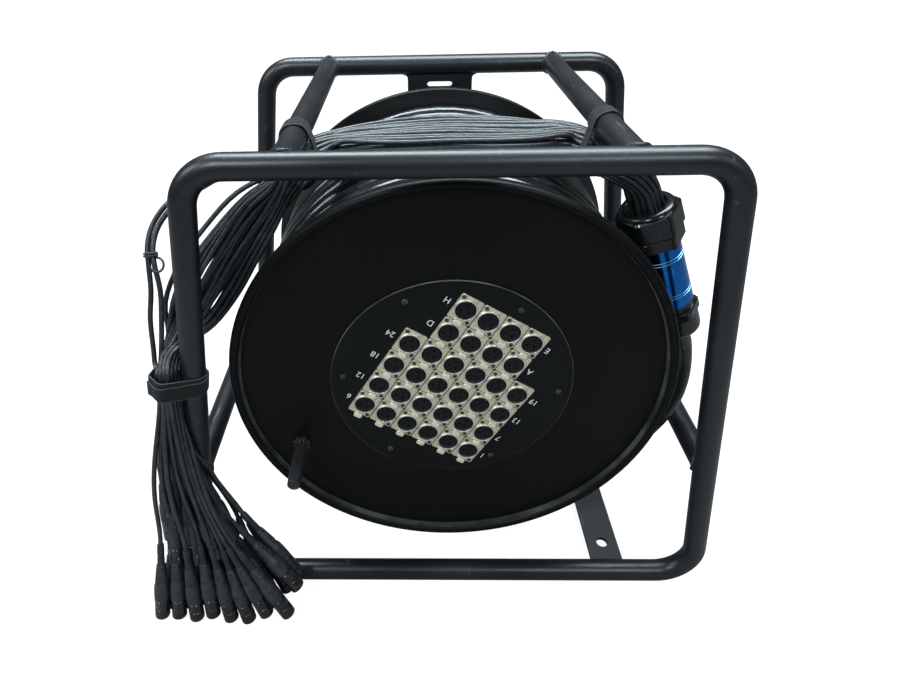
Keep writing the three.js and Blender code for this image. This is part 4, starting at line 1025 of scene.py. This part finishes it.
def on_winding(angle):
    """The lead's middle on the winding, after an angle from where it meets it, as it sinks in."""
    sink = (1 - math.cos(math.pi * angle / MEET_WRAP)) / 2
    radius = OUTER_LAYER + LEAD_RISE * (1 - sink)
    place = MEET_ANGLE - angle
    return Vector((radius * math.cos(place), inner_front, radius * math.sin(place)))


heading = Vector((math.sin(MEET_ANGLE), 0, -math.cos(MEET_ANGLE)))
meet = on_winding(0)
route = [
    SPLITTER_BOTTOM + splitter_up * (GLAND_BOTTOM_START + MOUTH_DEPTH - FIT_GAP),
    SPLITTER_BOTTOM - splitter_up * LEAD_STRAIGHT,
    SPLITTER_BOTTOM - splitter_up * (LEAD_STRAIGHT + LEAD_BEFORE_BEND),
    *[Vector(place) for place in LEAD_ROUTE],
    meet - heading * (LEAD_END_STRAIGHT + LEAD_BEFORE_BEND),
    meet - heading * LEAD_END_STRAIGHT,
    meet,
    *[on_winding(MEET_WRAP * k / WRAP_STEPS) for k in range(1, WRAP_STEPS + 1)],
]
route = [AXIS + place for place in smooth(route, LEAD_STEPS)]
cord_piece("cable_free_lead", route, CABLE_RADIUS, cable_jacket, "stand", ["cable_lead"])


# The plugs on the tails' ends: a glossy black die-cast shell open at its end round three pins, a fluted rubber
# grip, a ribbed boot and a shrink sleeve. Most stand in three rows on the floor beside the front loop's left post,
# and the others hang above them.
PLUG_LENGTH = 0.082
SHELL_RADIUS = 0.0087
SHELL_LENGTH = 0.0275
SHELL_WALL = 0.0016
GRIP_RADIUS = 0.009
GRIP_FLUTES = 36
GRIP_STEPS = 144
GRIP_GAP = 0.0015
FLUTE_DEPTH = 0.0004
BOOT_START = 0.0575
BOOT_RIBS = 8
SLEEVE_RADIUS = 0.0042
SLEEVE_END = 0.113
PIN_RADIUS = 0.0012
PIN_CIRCLE = 0.0045
BACKWARD_LEAN = (0.09, 0.17)
PLUG_UNEVENNESS = 0.012
PLUG_FLOOR_GAP = 0.0002
# Each row's place from front to back, how far its tips stand off the floor, and its plugs' tips from left to right
# with their lean to the right in degrees.
PLUG_ROWS = (
    (-0.077, 0.0, ((-0.350, -8), (-0.329, -5), (-0.308, -2), (-0.287, 1), (-0.266, 5), (-0.2445, 10), (-0.2215, 18),
                   (-0.195, 28))),
    (-0.059, 0.0, ((-0.344, -7), (-0.3225, -4), (-0.301, -1), (-0.28, 3), (-0.2585, 7), (-0.236, 13), (-0.211, 21))),
    (-0.041, 0.0, ((-0.334, -5), (-0.3125, -2), (-0.291, 1), (-0.27, 4), (-0.2485, 8), (-0.2265, 14), (-0.202, 22))),
    (-0.0585, 0.084, ((-0.322, -4), (-0.298, 2), (-0.273, 10), (-0.246, 20))),
    (-0.0405, 0.098, ((-0.331, -3), (-0.307, 2), (-0.283, 8), (-0.258, 16))),
    (-0.0585, 0.03, ((-0.184, 42),)),
    (-0.0405, 0.034, ((-0.187, 36),)),
)

boot_rubber = mottled(
    "boot_rubber", {"Specular IOR Level": 0.6}, (160, 5, 0.4, 0.7),
    ((0.018, 0.0195, 0.024), (0.036, 0.039, 0.047)), (0.36, 0.5), (1900, 0.00005))
shrink = mottled(
    "shrink_sleeve", {"Specular IOR Level": 0.4}, (90, 3, 0.4, 0.6),
    ((0.016, 0.017, 0.019), (0.024, 0.025, 0.028)), (0.42, 0.55), (380, 0.00012), shine=200)
# The plug's looks in their order on its mesh.
SHELL, RUBBER, SHRINK, PINS = range(4)


def plug_parts():
    """The shell, the fluted grip, the ribbed boot, the shrink sleeve and the three pins, from the tip up."""
    inside = SHELL_RADIUS - SHELL_WALL
    grip_start = SHELL_LENGTH + GRIP_GAP
    shell = [
        (0, 0.012),
        (inside, 0.012),
        (inside, 0.0003),
        (inside + 0.0003, 0),
        *arc(SHELL_RADIUS - 0.0004, 0.0004, 0.0004, -90, 0, 3),
        (SHELL_RADIUS, 0.0122),
        (SHELL_RADIUS - 0.0002, 0.0127),
        (SHELL_RADIUS - 0.0007, 0.0131),
        (SHELL_RADIUS - 0.0007, 0.0152),
        *arc(SHELL_RADIUS - 0.0004, 0.0158, 0.0004, -90, 0, 3),
        (SHELL_RADIUS, SHELL_LENGTH - 0.0006),
        (SHELL_RADIUS - 0.0004, SHELL_LENGTH - 0.0001),
        (SHELL_RADIUS - 0.0008, SHELL_LENGTH + 0.0001),
        (SHELL_RADIUS - 0.0008, SHELL_LENGTH + 0.0013),
        (GRIP_RADIUS - 0.0003, grip_start),
    ]
    grip = [
        (GRIP_RADIUS - 0.0003, grip_start),
        (GRIP_RADIUS, grip_start + 0.0003),
        (GRIP_RADIUS, grip_start + 0.002),
        (GRIP_RADIUS, grip_start + 0.003, FLUTE_DEPTH),
        (GRIP_RADIUS, 0.044, FLUTE_DEPTH),
        (GRIP_RADIUS - 0.0001, 0.0455),
        (GRIP_RADIUS - 0.0003, 0.049),
        (GRIP_RADIUS - 0.001, 0.0525),
        (GRIP_RADIUS - 0.0021, 0.0555),
        (GRIP_RADIUS - 0.0026, BOOT_START),
    ]
    boot = []
    for k in range(BOOT_RIBS):
        low = BOOT_START + (PLUG_LENGTH - BOOT_START) * k / BOOT_RIBS
        high = BOOT_START + (PLUG_LENGTH - BOOT_START) * (k + 0.62) / BOOT_RIBS
        radius = 0.0075 - 0.0021 * k / BOOT_RIBS
        boot += [(radius - 0.0011, low), (radius - 0.0002, low + 0.0002), (radius, low + 0.0006),
                 (radius - 0.0001, high - 0.0005), (radius - 0.0005, high), (radius - 0.0011, high + 0.0001)]
    boot += [(SLEEVE_RADIUS + 0.0006, PLUG_LENGTH), (SLEEVE_RADIUS + 0.0001, PLUG_LENGTH + 0.0006)]
    sleeve = [
        (SLEEVE_RADIUS, PLUG_LENGTH - 0.002),
        (SLEEVE_RADIUS, PLUG_LENGTH + 0.008),
        (SLEEVE_RADIUS - 0.0003, PLUG_LENGTH + 0.014),
        (SLEEVE_RADIUS - 0.0001, PLUG_LENGTH + 0.021),
        (SLEEVE_RADIUS - 0.0004, SLEEVE_END - 0.0008),
        (SLEEVE_RADIUS - 0.0009, SLEEVE_END),
        (0.0026, SLEEVE_END),
    ]
    pin = [(0, 0.0022), (PIN_RADIUS * 0.6, 0.0024), (PIN_RADIUS, 0.0032), (PIN_RADIUS, 0.0121)]
    pins = [moved(lathe(pin, 16), Vector((x, 0, z))) for x, z in round_loop(PIN_CIRCLE, 3, start=math.pi / 2)]
    return [
        (*lathe(shell, 48), SHELL),
        (*lathe(grip, GRIP_STEPS, flutes=GRIP_FLUTES), RUBBER),
        (*lathe(boot, 40), RUBBER),
        (*lathe(sleeve, 24), SHRINK),
        *((*each, PINS) for each in pins),
    ]


plug_mesh = solid("plug", plug_parts(), gloss_black, boot_rubber, shrink, contact_metal)
chance = random.Random(5)
plugs = []
for y, rise, tips in PLUG_ROWS:
    for x, lean in tips:
        up = Vector((-math.sin(math.radians(lean)), chance.uniform(*BACKWARD_LEAN), 1)).normalized()
        off_floor = SHELL_RADIUS * math.hypot(up.x, up.y) + PLUG_FLOOR_GAP + chance.uniform(0, PLUG_UNEVENNESS)
        tip = Vector((x, y, rise + off_floor - AXIS.z))
        turn = Matrix.Rotation(chance.uniform(0, 2 * math.pi), 4, "Y")
        at = Vector((0, 1, 0)).rotation_difference(up).to_matrix().to_4x4() @ turn
        plugs.append((tip, up, Matrix.Translation(AXIS + tip) @ at, rise > 0))


# The 32 tails, 5.2 mm across in a dull textured jacket. They leave the splitter as one round loom, go through two
# straps under the crossbars and fan out over the drum between them, and hang from a third strap to their plugs. Two
# part from the others at the left crossbar and bow out beside the post.
TAIL_RADIUS = 0.0026
TAIL_COUNT = 32
TAIL_SPACING = 0.0053
LOOM_STRAIGHT = 0.012
RIGHT_STRAP_Y = 0.09
LEFT_STRAP_Y = 0.066
POST_LOOM = Vector((-0.2957, -0.0175, 0.024))
POST_LOOM_HALF = (0.0132, 0.0225)
TAIL_STEPS = 4
TAIL_COLUMNS = 11
# How far a tail strays across and through the loom where it fans out, and how much further the outermost ones lie.
STRAY_ACROSS = 0.0026
STRAY_THROUGH = 0.0006
OUTERMOST = 0.005
# How far the hanging tails keep on in the direction of the loom and of the plug, for their length, and their bow.
DROOP_STEPS = 10
LEAVE_REACH = 0.8
ARRIVE_REACH = 0.75
BOW_ASIDE = (-0.005, 0.004)
BOW_FORWARD = (-0.003, 0)
FLOOR_BOW = 0.009
POST_GAP = 0.0003
# Each row is the loom's middle, the direction in which it is wide, and its half width and half depth.
LOOM_TO_RIGHT_STRAP = [
    ((0.1884, 0.0591, 0.1963), (0, 1, 0), (0.0194, 0.0194)),
    ((0.1837, 0.0576, 0.2059), (0.2, 0.98, 0), (0.0194, 0.0194)),
    ((0.1764, 0.0559, 0.2135), (0.4, 0.9, 0), (0.0194, 0.0194)),
    ((0.1674, 0.057, 0.2188), (0.65, 0.75, 0), (0.0185, 0.0203)),
    ((0.1586, 0.0625, 0.2216), (0.88, 0.5, 0), (0.0185, 0.0203)),
    ((0.1531, 0.0712, 0.2229), (0.97, 0.25, 0), (0.0194, 0.0194)),
]
LOOM_OVER_DRUM = [
    ((0.1501, 0.1108, 0.2236), (0.95, 0.31, 0), (0.0198, 0.0188)),
    ((0.1451, 0.1206, 0.2246), (0.81, 0.59, 0), (0.021, 0.0176)),
    ((0.1374, 0.1283, 0.2256), (0.59, 0.81, 0), (0.023, 0.016)),
    ((0.1276, 0.1333, 0.2266), (0.31, 0.95, 0), (0.026, 0.0144)),
    ((0.113, 0.1355, 0.2274), (0.1, 1, 0), (0.03, 0.0128)),
    ((0.09, 0.1325, 0.2298), (0, 1, 0), (0.036, 0.0112)),
    ((0.05, 0.130, 0.2333), (0, 1, 0), (0.042, 0.0098)),
    ((0.0, 0.129, 0.2354), (0, 1, 0), (0.044, 0.0094)),
    ((-0.05, 0.1275, 0.2333), (0, 1, 0), (0.042, 0.0098)),
    ((-0.088, 0.1245, 0.2298), (0, 1, 0), (0.035, 0.0116)),
    ((-0.111, 0.1235, 0.227), (-0.1, 1, 0), (0.029, 0.013)),
    ((-0.1265, 0.1182, 0.2264), (-0.31, 0.95, 0), (0.025, 0.015)),
    ((-0.137, 0.1116, 0.2255), (-0.59, 0.81, 0), (0.0225, 0.0164)),
    ((-0.1452, 0.1026, 0.2246), (-0.81, 0.59, 0), (0.0206, 0.018)),
    ((-0.1501, 0.0954, 0.2237), (-0.95, 0.31, 0), (0.0196, 0.019)),
]
LOOM_TO_POST_STRAP = [
    ((-0.153, 0.0552, 0.2226), (-0.98, 0.15, 0), (0.0194, 0.0194)),
    ((-0.1595, 0.0466, 0.2183), (-0.85, 0.4, 0.25), (0.02, 0.0188)),
    ((-0.1725, 0.0475, 0.2075), (-0.78, 0.1, 0.6), (0.0215, 0.016)),
    ((-0.1944, 0.048, 0.1862), (-0.74, -0.05, 0.66), (0.0245, 0.0122)),
    ((-0.2215, 0.042, 0.153), (-0.73, -0.11, 0.67), (0.027, 0.0108)),
    ((-0.2495, 0.032, 0.1143), (-0.72, -0.2, 0.65), (0.031, 0.0108)),
    ((-0.272, 0.0195, 0.081), (-0.74, -0.3, 0.55), (0.027, 0.0118)),
    ((-0.2885, 0.006, 0.0565), (-0.95, -0.3, 0.1), (0.0165, 0.0175)),
    ((-0.294, -0.008, 0.044), (-1, -0.1, 0), (0.0138, 0.021)),
]
PAIR_ROUTE = [
    (-0.153, 0.072, 0.222),
    (-0.173, 0.058, 0.226),
    (-0.215, 0.05, 0.228),
    (-0.2550, 0.041, 0.2105),
    (-0.2783, 0.032, 0.1964),
    (-0.2922, 0.024, 0.1789),
    (-0.2967, 0.016, 0.1644),
    (-0.2968, 0.009, 0.1492),
    (-0.2950, 0.0, 0.1225),
    (-0.2995, -0.006, 0.0906),
    (-0.3035, -0.011, 0.0567),
    (-0.3045, -0.0165, 0.042),
]
PAIR_APART = (0.0028, 0.0032, 0.0034, 0.003, 0.0028, 0.0027, 0.0027, 0.0028, 0.0046, 0.0056, 0.004, 0.0027)

bar_x = (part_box("top_crossbar_right")[0].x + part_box("top_crossbar_right")[1].x) / 2
bar_z = loop_high_z - AXIS.z
loom_bar_z = bar_z - TUBE_RADIUS - FIT_GAP - LOOM_RADIUS
post_down = Vector((-POST_SLOPE, 0, -1)).normalized()
loom_round = (LOOM_RADIUS, LOOM_RADIUS)


def in_strap(x, middle_y, way):
    """The straight stretch of the loom through a strap under a crossbar."""
    ends = [middle_y + step * way for step in (-LOOM_STRAIGHT, LOOM_STRAIGHT)]
    return [((x, y, loom_bar_z), (way, 0, 0), loom_round) for y in ends]


stations = [
    (SPLITTER_TOP + splitter_up * (FIT_GAP - MOUTH_DEPTH), (0, 1, 0), loom_round),
    (SPLITTER_TOP + splitter_up * LOOM_STRAIGHT / 2, (0, 1, 0), loom_round),
    *LOOM_TO_RIGHT_STRAP,
    *in_strap(bar_x, RIGHT_STRAP_Y, 1),
    *LOOM_OVER_DRUM,
    *in_strap(-bar_x, LEFT_STRAP_Y, -1),
    *LOOM_TO_POST_STRAP,
    (POST_LOOM - post_down * LOOM_STRAIGHT, (-1, 0, 0), POST_LOOM_HALF),
    (POST_LOOM + post_down * LOOM_STRAIGHT, (-1, 0, 0), POST_LOOM_HALF),
]
stations = [(Vector(middle), Vector(wide).normalized(), half) for middle, wide, half in stations]
LEAVES_LEFT_STRAP = 2 + len(LOOM_TO_RIGHT_STRAP) + 2 + len(LOOM_OVER_DRUM) + 1
front_y = loop_middles["front_loop"].y - AXIS.y


def loom_places():
    """Where each tail lies across the loom: packed as in a round bundle, and in columns where it fans out."""
    lattice = []
    for i in range(-6, 7):
        for j in range(-6, 7):
            lattice.append(Vector((i + j / 2 + 0.3, j * math.sqrt(3) / 2 + 0.15)) * TAIL_SPACING)
    lattice = sorted(lattice, key=lambda spot: spot.length)[:TAIL_COUNT]
    middle = sum(lattice, Vector((0, 0))) / TAIL_COUNT
    lattice = sorted((spot - middle for spot in lattice), key=lambda spot: spot.x)
    places = []
    middle_column = (TAIL_COLUMNS - 1) / 2
    for column in range(TAIL_COLUMNS):
        spots = sorted(lattice[column * 3:column * 3 + 3], key=lambda spot: spot.y)
        for row, spot in enumerate(spots):
            across = (column - middle_column) / middle_column
            places.append((spot, Vector((across, row - (len(spots) - 1) / 2))))
    return places


tail_jacket, place = new_look("tail_jacket", {"Specular IOR Level": 0.8})
dust = reach(noise(place, 120, 5), 0.42, 0.68)
weave = noise(place, 1400, 2)
blend(dust, (0.011, 0.0125, 0.0145), (0.026, 0.0295, 0.033)).into("Base Color")
reach(weave, 0.3, 0.7, 0.25, 0.37).into("Roughness")
relief(weave, 0.0003).into("Normal")

headings = []
for i, (middle, wide, half) in enumerate(stations):
    ahead, behind = stations[min(i + 1, len(stations) - 1)][0], stations[max(i - 1, 0)][0]
    headings.append((ahead - behind).normalized())


def clear_of_post(point):
    """The point, or where it is at a tail's distance from the front loop's left post."""
    post = Vector((-(LOOP_TOP_HALF + (bar_z - point.z) * POST_SLOPE), front_y, point.z))
    away = point - post
    room = TUBE_RADIUS + TAIL_RADIUS + POST_GAP
    return post + away.normalized() * max(room, away.length)


def tail_route(spot, column_place, tip, up, raised, pair_side):
    """One tail's points, from the splitter's mouth to its plug's boot."""
    points = []
    across_phase, through_phase = chance.uniform(0, 6.3), chance.uniform(0, 6.3)
    for i, ((middle, wide, half), along) in enumerate(zip(stations, headings)):
        across = (wide - along * wide.dot(along)).normalized()
        over = along.cross(across)
        flat = min(max((half[0] / half[1] - 1) / 1.4, 0), 1)
        flat = flat * flat * (3 - 2 * flat)
        x = spot.x * half[0] / LOOM_RADIUS * (1 - flat) + column_place.x * (half[0] - TAIL_RADIUS) * flat
        y = spot.y * half[1] / LOOM_RADIUS * (1 - flat) + column_place.y * (half[1] - TAIL_RADIUS) * flat
        x += flat * (STRAY_ACROSS * math.sin(0.9 * i + across_phase) + (OUTERMOST if column_place.x > 0.9 else 0))
        y += STRAY_THROUGH * flat * math.sin(1.3 * i + through_phase)
        if pair_side and LEAVES_LEFT_STRAP <= i < len(stations) - 2:
            continue
        points.append(middle + across * x + over * y)
        if pair_side and i == LEAVES_LEFT_STRAP - 1:
            pair = [Vector(place) for place in PAIR_ROUTE]
            for k, middle in enumerate(pair):
                along = (pair[min(k + 1, len(pair) - 1)] - pair[max(k - 1, 0)]).normalized()
                apart = along.cross(Vector((0, 1, 0))).normalized()
                points.append(middle + apart * PAIR_APART[k] * pair_side)
    start, end = points[-1], tip + up * (SLEEVE_END + 0.006)
    long = (end - start).length
    bow = Vector((chance.uniform(*BOW_ASIDE), chance.uniform(*BOW_FORWARD) - (0 if raised else FLOOR_BOW), 0))
    leave, arrive = post_down * long * LEAVE_REACH, up * long * -ARRIVE_REACH
    for k in range(1, DROOP_STEPS):
        t = k / DROOP_STEPS
        place = start * (2 * t ** 3 - 3 * t ** 2 + 1) + end * (3 * t ** 2 - 2 * t ** 3)
        place += leave * (t ** 3 - 2 * t ** 2 + t) + arrive * (t ** 3 - t ** 2)
        points.append(clear_of_post(place + bow * math.sin(math.pi * t) ** 2))
    return points + [end, tip + up * (PLUG_LENGTH + 0.012), tip + up * (PLUG_LENGTH + 0.001)]


def in_columns(items, across, over):
    """Sorted into columns of three from left to right, and each column from front to back."""
    items = sorted(items, key=across)
    return [item for k in range(0, len(items), 3) for item in sorted(items[k:k + 3], key=over)]


places = sorted(loom_places(), key=lambda item: item[0].y)
hung = []
standing = sum(not raised for *_, raised in plugs)
for raised, share in ((False, places[:standing]), (True, places[standing:])):
    share = in_columns(share, lambda item: -item[0].x, lambda item: item[0].y)
    group = [plug for plug in plugs if plug[3] == raised]
    hung += zip(share, in_columns(group, lambda item: item[0].x - item[1].x * 0.2, lambda item: item[0].y))
leftmost = sorted(places, key=lambda item: -item[0].x)
for k, (place, (tip, up, at, raised)) in enumerate(hung):
    plug = fit(f"plug_{k + 1:02d}", plug_mesh, "stand", at)
    pair_side = -1 if place is leftmost[0] else 1 if place is leftmost[1] else 0
    points = tail_route(*place, tip, up, raised, pair_side)
    route = [AXIS + point for point in smooth(points, TAIL_STEPS)]
    cord_piece(f"tail_{k + 1:02d}", route, TAIL_RADIUS, tail_jacket, "stand",
               ["tail_loom", "tail_plugs"])


# The three hook-and-loop straps. Each is 18 mm wide, goes once round a tube and the loom and overlaps itself; the
# pile side is dull and fuzzy, and the cut edges are paler. Two hold the loom under the crossbars, one at the post.
STRAP_WIDTH = 0.018
STRAP_THICKNESS = 0.0011
STRAP_TUBE_GAP = 0.0002
STRAP_LOOM_GAP = 0.0005
STRAP_STEPS = 72
STRAP_HEM = 0.0007
STRAP_RIPPLE = (0.0005, 0.0004)
RING_SKEW = 0.0008
OVERLAP_GAP = 0.0002

pile, place = new_look("strap_pile", {"Specular IOR Level": 0.15, "Sheen Weight": 0.08, "Sheen Roughness": 0.5})
fuzz = noise(place, 1500, 4)
lint = reach(noise(place, 380, 5), 0.62, 0.72)
blend(lint * 0.5, blend(reach(fuzz, 0.35, 0.65), (0.005, 0.0055, 0.006), (0.014, 0.015, 0.016)),
      (0.06, 0.06, 0.06)).into("Base Color")
reach(fuzz, 0.3, 0.7, 0.85, 0.95).into("Roughness")
relief(fuzz, 0.0009, relief(noise(place, 260), 0.0006)).into("Normal")
cut_edge = mottled(
    "strap_cut_edge", {"Specular IOR Level": 0.15}, (1200, 3, 0, 1),
    ((0.03, 0.031, 0.032), (0.11, 0.115, 0.12)), (0.8, 0.95), shine=800)


def oval(x, z, half_x, half_z):
    """Spots on an oval, for a belt to go round."""
    angles = [2 * math.pi * k / 96 for k in range(96)]
    return [Vector((x + half_x * math.cos(a), z + half_z * math.sin(a))) for a in angles]


def belt(spots):
    """A tight line round the spots, in even steps from its most positive x, with the direction out of it."""
    spots = sorted(spots, key=lambda spot: (spot.x, spot.y))
    hull = []
    for way in (spots, spots[::-1]):
        side = []
        for spot in way:
            while len(side) > 1 and (side[-1] - side[-2]).cross(spot - side[-1]) <= 1e-12:
                side.pop()
            side.append(spot)
        hull += side[:-1]
    first = max(range(len(hull)), key=lambda k: hull[k].x)
    hull = hull[first:] + hull[:first + 1]
    lengths = [(b - a).length for a, b in zip(hull, hull[1:])]
    step = sum(lengths) / STRAP_STEPS
    line, k, gone = [], 0, 0.0
    for i in range(STRAP_STEPS):
        while gone + lengths[k] < i * step and k < len(lengths) - 1:
            gone += lengths[k]
            k += 1
        line.append(hull[k].lerp(hull[k + 1], (i * step - gone) / lengths[k]))
    turned = []
    for i, spot in enumerate(line):
        along = line[(i + 1) % STRAP_STEPS] - line[i - 1]
        turned.append((spot, Vector((along.y, -along.x)).normalized()))
    return turned


def band(route, lift, closed, skew, wander):
    """A strap's two skins along a belt's route. Its width lies along Y, and skew moves it along Y on the way."""
    half, thick = STRAP_WIDTH / 2, STRAP_THICKNESS / 2
    section = [(half, 0), (half - STRAP_HEM / 3, thick), (half - STRAP_HEM, thick), (STRAP_HEM - half, thick),
               (STRAP_HEM / 3 - half, thick), (-half, 0), (STRAP_HEM / 3 - half, -thick), (STRAP_HEM - half, -thick),
               (half - STRAP_HEM, -thick), (half - STRAP_HEM / 3, -thick)]
    points = []
    for i, (spot, out) in enumerate(route):
        share = i / (len(route) - 1)
        shift = skew * (math.sin(2 * math.pi * share) if closed else 1 - 0.35 * share)
        for across, through in section:
            edge = across / half
            ripple = STRAP_RIPPLE[0] * edge * math.sin(9 * share + wander)
            ripple += STRAP_RIPPLE[1] * abs(edge) * math.sin(23 * share + wander)
            away = lift + thick + through + ripple
            points.append(Vector((spot.x + out.x * away, across + shift, spot.y + out.y * away)))
    plain, pale = [], []
    for face in flipped(skin(len(route), len(section), closed)):
        across = abs(sum(section[k % len(section)][0] for k in face)) / len(face)
        (pale if across > half - STRAP_HEM * 1.01 or len(face) > 4 else plain).append(face)
    return [(points, plain, 0), (points, pale, 1)]


def strap(name, node, at, spots, wander, first, last, skew):
    """A strap's ring and the end that overlaps it, from one step to another."""
    route = belt(spots)
    overlap = [route[k % STRAP_STEPS] for k in range(first, last)]
    parts = band(route, 0, True, RING_SKEW, wander) + band(overlap, STRAP_THICKNESS + OVERLAP_GAP, False, skew, wander)
    fit(name, solid(name, parts, pile, cut_edge), "stand", at, [node])


tube_room = TUBE_RADIUS + STRAP_TUBE_GAP
round_tube = oval(0, 0, tube_room, tube_room)
loom_room = LOOM_RADIUS + STRAP_LOOM_GAP
under_bar = round_tube + oval(0, loom_bar_z - bar_z, loom_room, loom_room)
at_right = Matrix.Translation(AXIS + Vector((bar_x, RIGHT_STRAP_Y, bar_z)))
at_left = Matrix.Translation(AXIS + Vector((-bar_x, LEFT_STRAP_Y, bar_z)))
strap("strap_right", "strap_right_bar", at_right, under_bar, 0.4, 2, 34, -0.0012)
strap("strap_left", "strap_left_bar", at_left, under_bar, 1.9, 4, 34, -0.0012)
post_x = -(LOOP_TOP_HALF + (bar_z - POST_LOOM.z) * POST_SLOPE)
stand_up = Matrix.Rotation(math.atan(POST_SLOPE), 4, "Y") @ Matrix.Rotation(-math.pi / 2, 4, "X")
at_post = Matrix.Translation(AXIS + Vector((post_x, front_y, POST_LOOM.z))) @ stand_up
beside = oval(POST_LOOM.x - post_x, POST_LOOM.y - front_y, *(half + STRAP_LOOM_GAP for half in POST_LOOM_HALF))
pinch = Vector((POST_LOOM.x - post_x - 0.0165, POST_LOOM.y - front_y - 0.012))
strap("strap_post", "strap_left_post", at_post, round_tube + beside + [pinch], 3.1, 41, 77, 0.006)


# The small tie on the two tails that bow out beside the post: a plastic-covered wire wound twice round both, its
# tail bent into a loop.
TIE_RADIUS = 0.0012
TIE_PLACE = 6.45
TIE_TURNS = 2
TIE_STEPS = 28
TIE_HALF = (0.0064, 0.0038)
TIE_LOOP = (0.0065, 0.007)
TIE_LOOP_STEPS = 20

tie_look = mottled(
    "tie_plastic", {"Specular IOR Level": 0.4}, (300, 3, 0, 1),
    ((0.012, 0.013, 0.014), (0.03, 0.031, 0.033)), (0.4, 0.55), shine=500)
k = int(TIE_PLACE)
one, two = Vector(PAIR_ROUTE[k]), Vector(PAIR_ROUTE[k + 1])
tie_at = one.lerp(two, TIE_PLACE - k)
along = (two - one).normalized()
aside = along.cross(Vector((0, 1, 0))).normalized()
depth = along.cross(aside)
route = []
for i in range(TIE_TURNS * TIE_STEPS + 1):
    angle = 2 * math.pi * i / TIE_STEPS
    round_both = aside * (TIE_HALF[0] * math.cos(angle)) + depth * (TIE_HALF[1] * math.sin(angle))
    route.append(tie_at + round_both + along * (2.1 * TIE_RADIUS * i / TIE_STEPS))
last = route[-1]
for i in range(1, TIE_LOOP_STEPS + 1):
    angle = math.pi * 1.45 * i / TIE_LOOP_STEPS
    bend = aside * (TIE_LOOP[0] * math.sin(angle)) + along * (TIE_LOOP[1] * (1 - math.cos(angle)))
    route.append(last + bend + depth * 0.0002 * i)
wire = tube([AXIS + point for point in route], [TIE_RADIUS] * len(route), 10)
fit("pair_tie", solid("pair_tie", [wire], tie_look), "stand")


# The floor: a pale seamless studio floor. The camera sees it almost white, and it keeps the contact shadow; the
# object sees a grey one.
FLOOR_HALF = 12.0

floor_look, place = new_look("studio_floor", {"Roughness": 0.9, "Specular IOR Level": 0.0})
blend(noise(place, 2), (0.17, 0.17, 0.17), (0.19, 0.19, 0.19)).into("Base Color")
seen = place.node("ShaderNodeLightPath", {}, {}, "Is Camera Ray")
blend(seen, (0, 0, 0), (0.92, 0.92, 0.92)).into("Emission Color")
floor_look.node_tree.nodes["Principled BSDF"].inputs["Emission Strength"].default_value = 1.0
corners = [Vector((x * FLOOR_HALF, y * FLOOR_HALF, 0)) for x, y in ((-1, -1), (1, -1), (1, 1), (-1, 1))]
floor = bpy.data.objects.new("floor", solid("floor", [(corners, [(0, 1, 2, 3)], 0)], floor_look))
bpy.context.scene.collection.objects.link(floor)


# The light: a wide soft box above and behind, one at each side, two small ones in front, and a white room that the
# glossy pieces mirror darker.
LIGHTS = (
    ("light_top", (0.1, 0.55, 2.4), (2.6, 0.8), 128),
    ("light_left", (-2.3, -0.6, 1.9), (0.9, 0.9), 20),
    ("light_right", (2.1, -1.2, 1.7), (0.8, 0.8), 4),
    ("light_front_left", (-1.1, -1.7, 2.1), (0.3, 0.3), 24),
    ("light_front_right", (0.9, -1.9, 2.0), (0.3, 0.3), 16),
)
LIGHT_COLOR = (0.8, 0.93, 1.0)
ROOM_SEEN = 1.0
ROOM_LIGHT = 0.55
ROOM_MIRRORED = 0.09
AIM = Vector((0, 0.1, 0.3))

for name, place, size, power in LIGHTS:
    lamp = bpy.data.lights.new(name, "AREA")
    lamp.shape = "RECTANGLE"
    lamp.size, lamp.size_y = size
    lamp.energy = power
    lamp.color = LIGHT_COLOR
    holder = bpy.data.objects.new(name, lamp)
    bpy.context.scene.collection.objects.link(holder)
    toward = (AIM - Vector(place)).to_track_quat("-Z", "Y")
    holder.matrix_world = Matrix.Translation(place) @ toward.to_matrix().to_4x4()

world = bpy.data.worlds.new("white_room")
bpy.context.scene.world = world
world.use_nodes = True
seen = Field(world.node_tree.nodes.new("ShaderNodeLightPath").outputs["Is Camera Ray"])
mirrored = Field(seen.socket.node.outputs["Is Glossy Ray"])
strength = seen * (ROOM_SEEN - ROOM_LIGHT) + ROOM_LIGHT - mirrored * (ROOM_LIGHT - ROOM_MIRRORED)
background = world.node_tree.nodes["Background"]
background.inputs["Color"].default_value = (1, 1, 1, 1)
world.node_tree.links.new(strength.socket, background.inputs["Strength"])


# The camera stands where the photograph was taken from: in front of the drum and above it, looking down.
CAMERA_PLACE = (-0.039893, -0.686075, 0.751408)
CAMERA_TURN = (59.508, 1.2958, 1.1115)
CAMERA_LENS = 25.188
SENSOR_WIDTH = 36
CAMERA_SHIFT = (0.06088, -0.06784)

eye = bpy.data.cameras.new("camera")
eye.lens = CAMERA_LENS
eye.sensor_width = SENSOR_WIDTH
eye.shift_x, eye.shift_y = CAMERA_SHIFT
eye.clip_start = 0.01
camera = bpy.data.objects.new("camera", eye)
bpy.context.scene.collection.objects.link(camera)
camera.location = CAMERA_PLACE
camera.rotation_euler = [math.radians(angle) for angle in CAMERA_TURN]
bpy.context.scene.camera = camera
bpy.context.scene.view_settings.view_transform = "Standard"
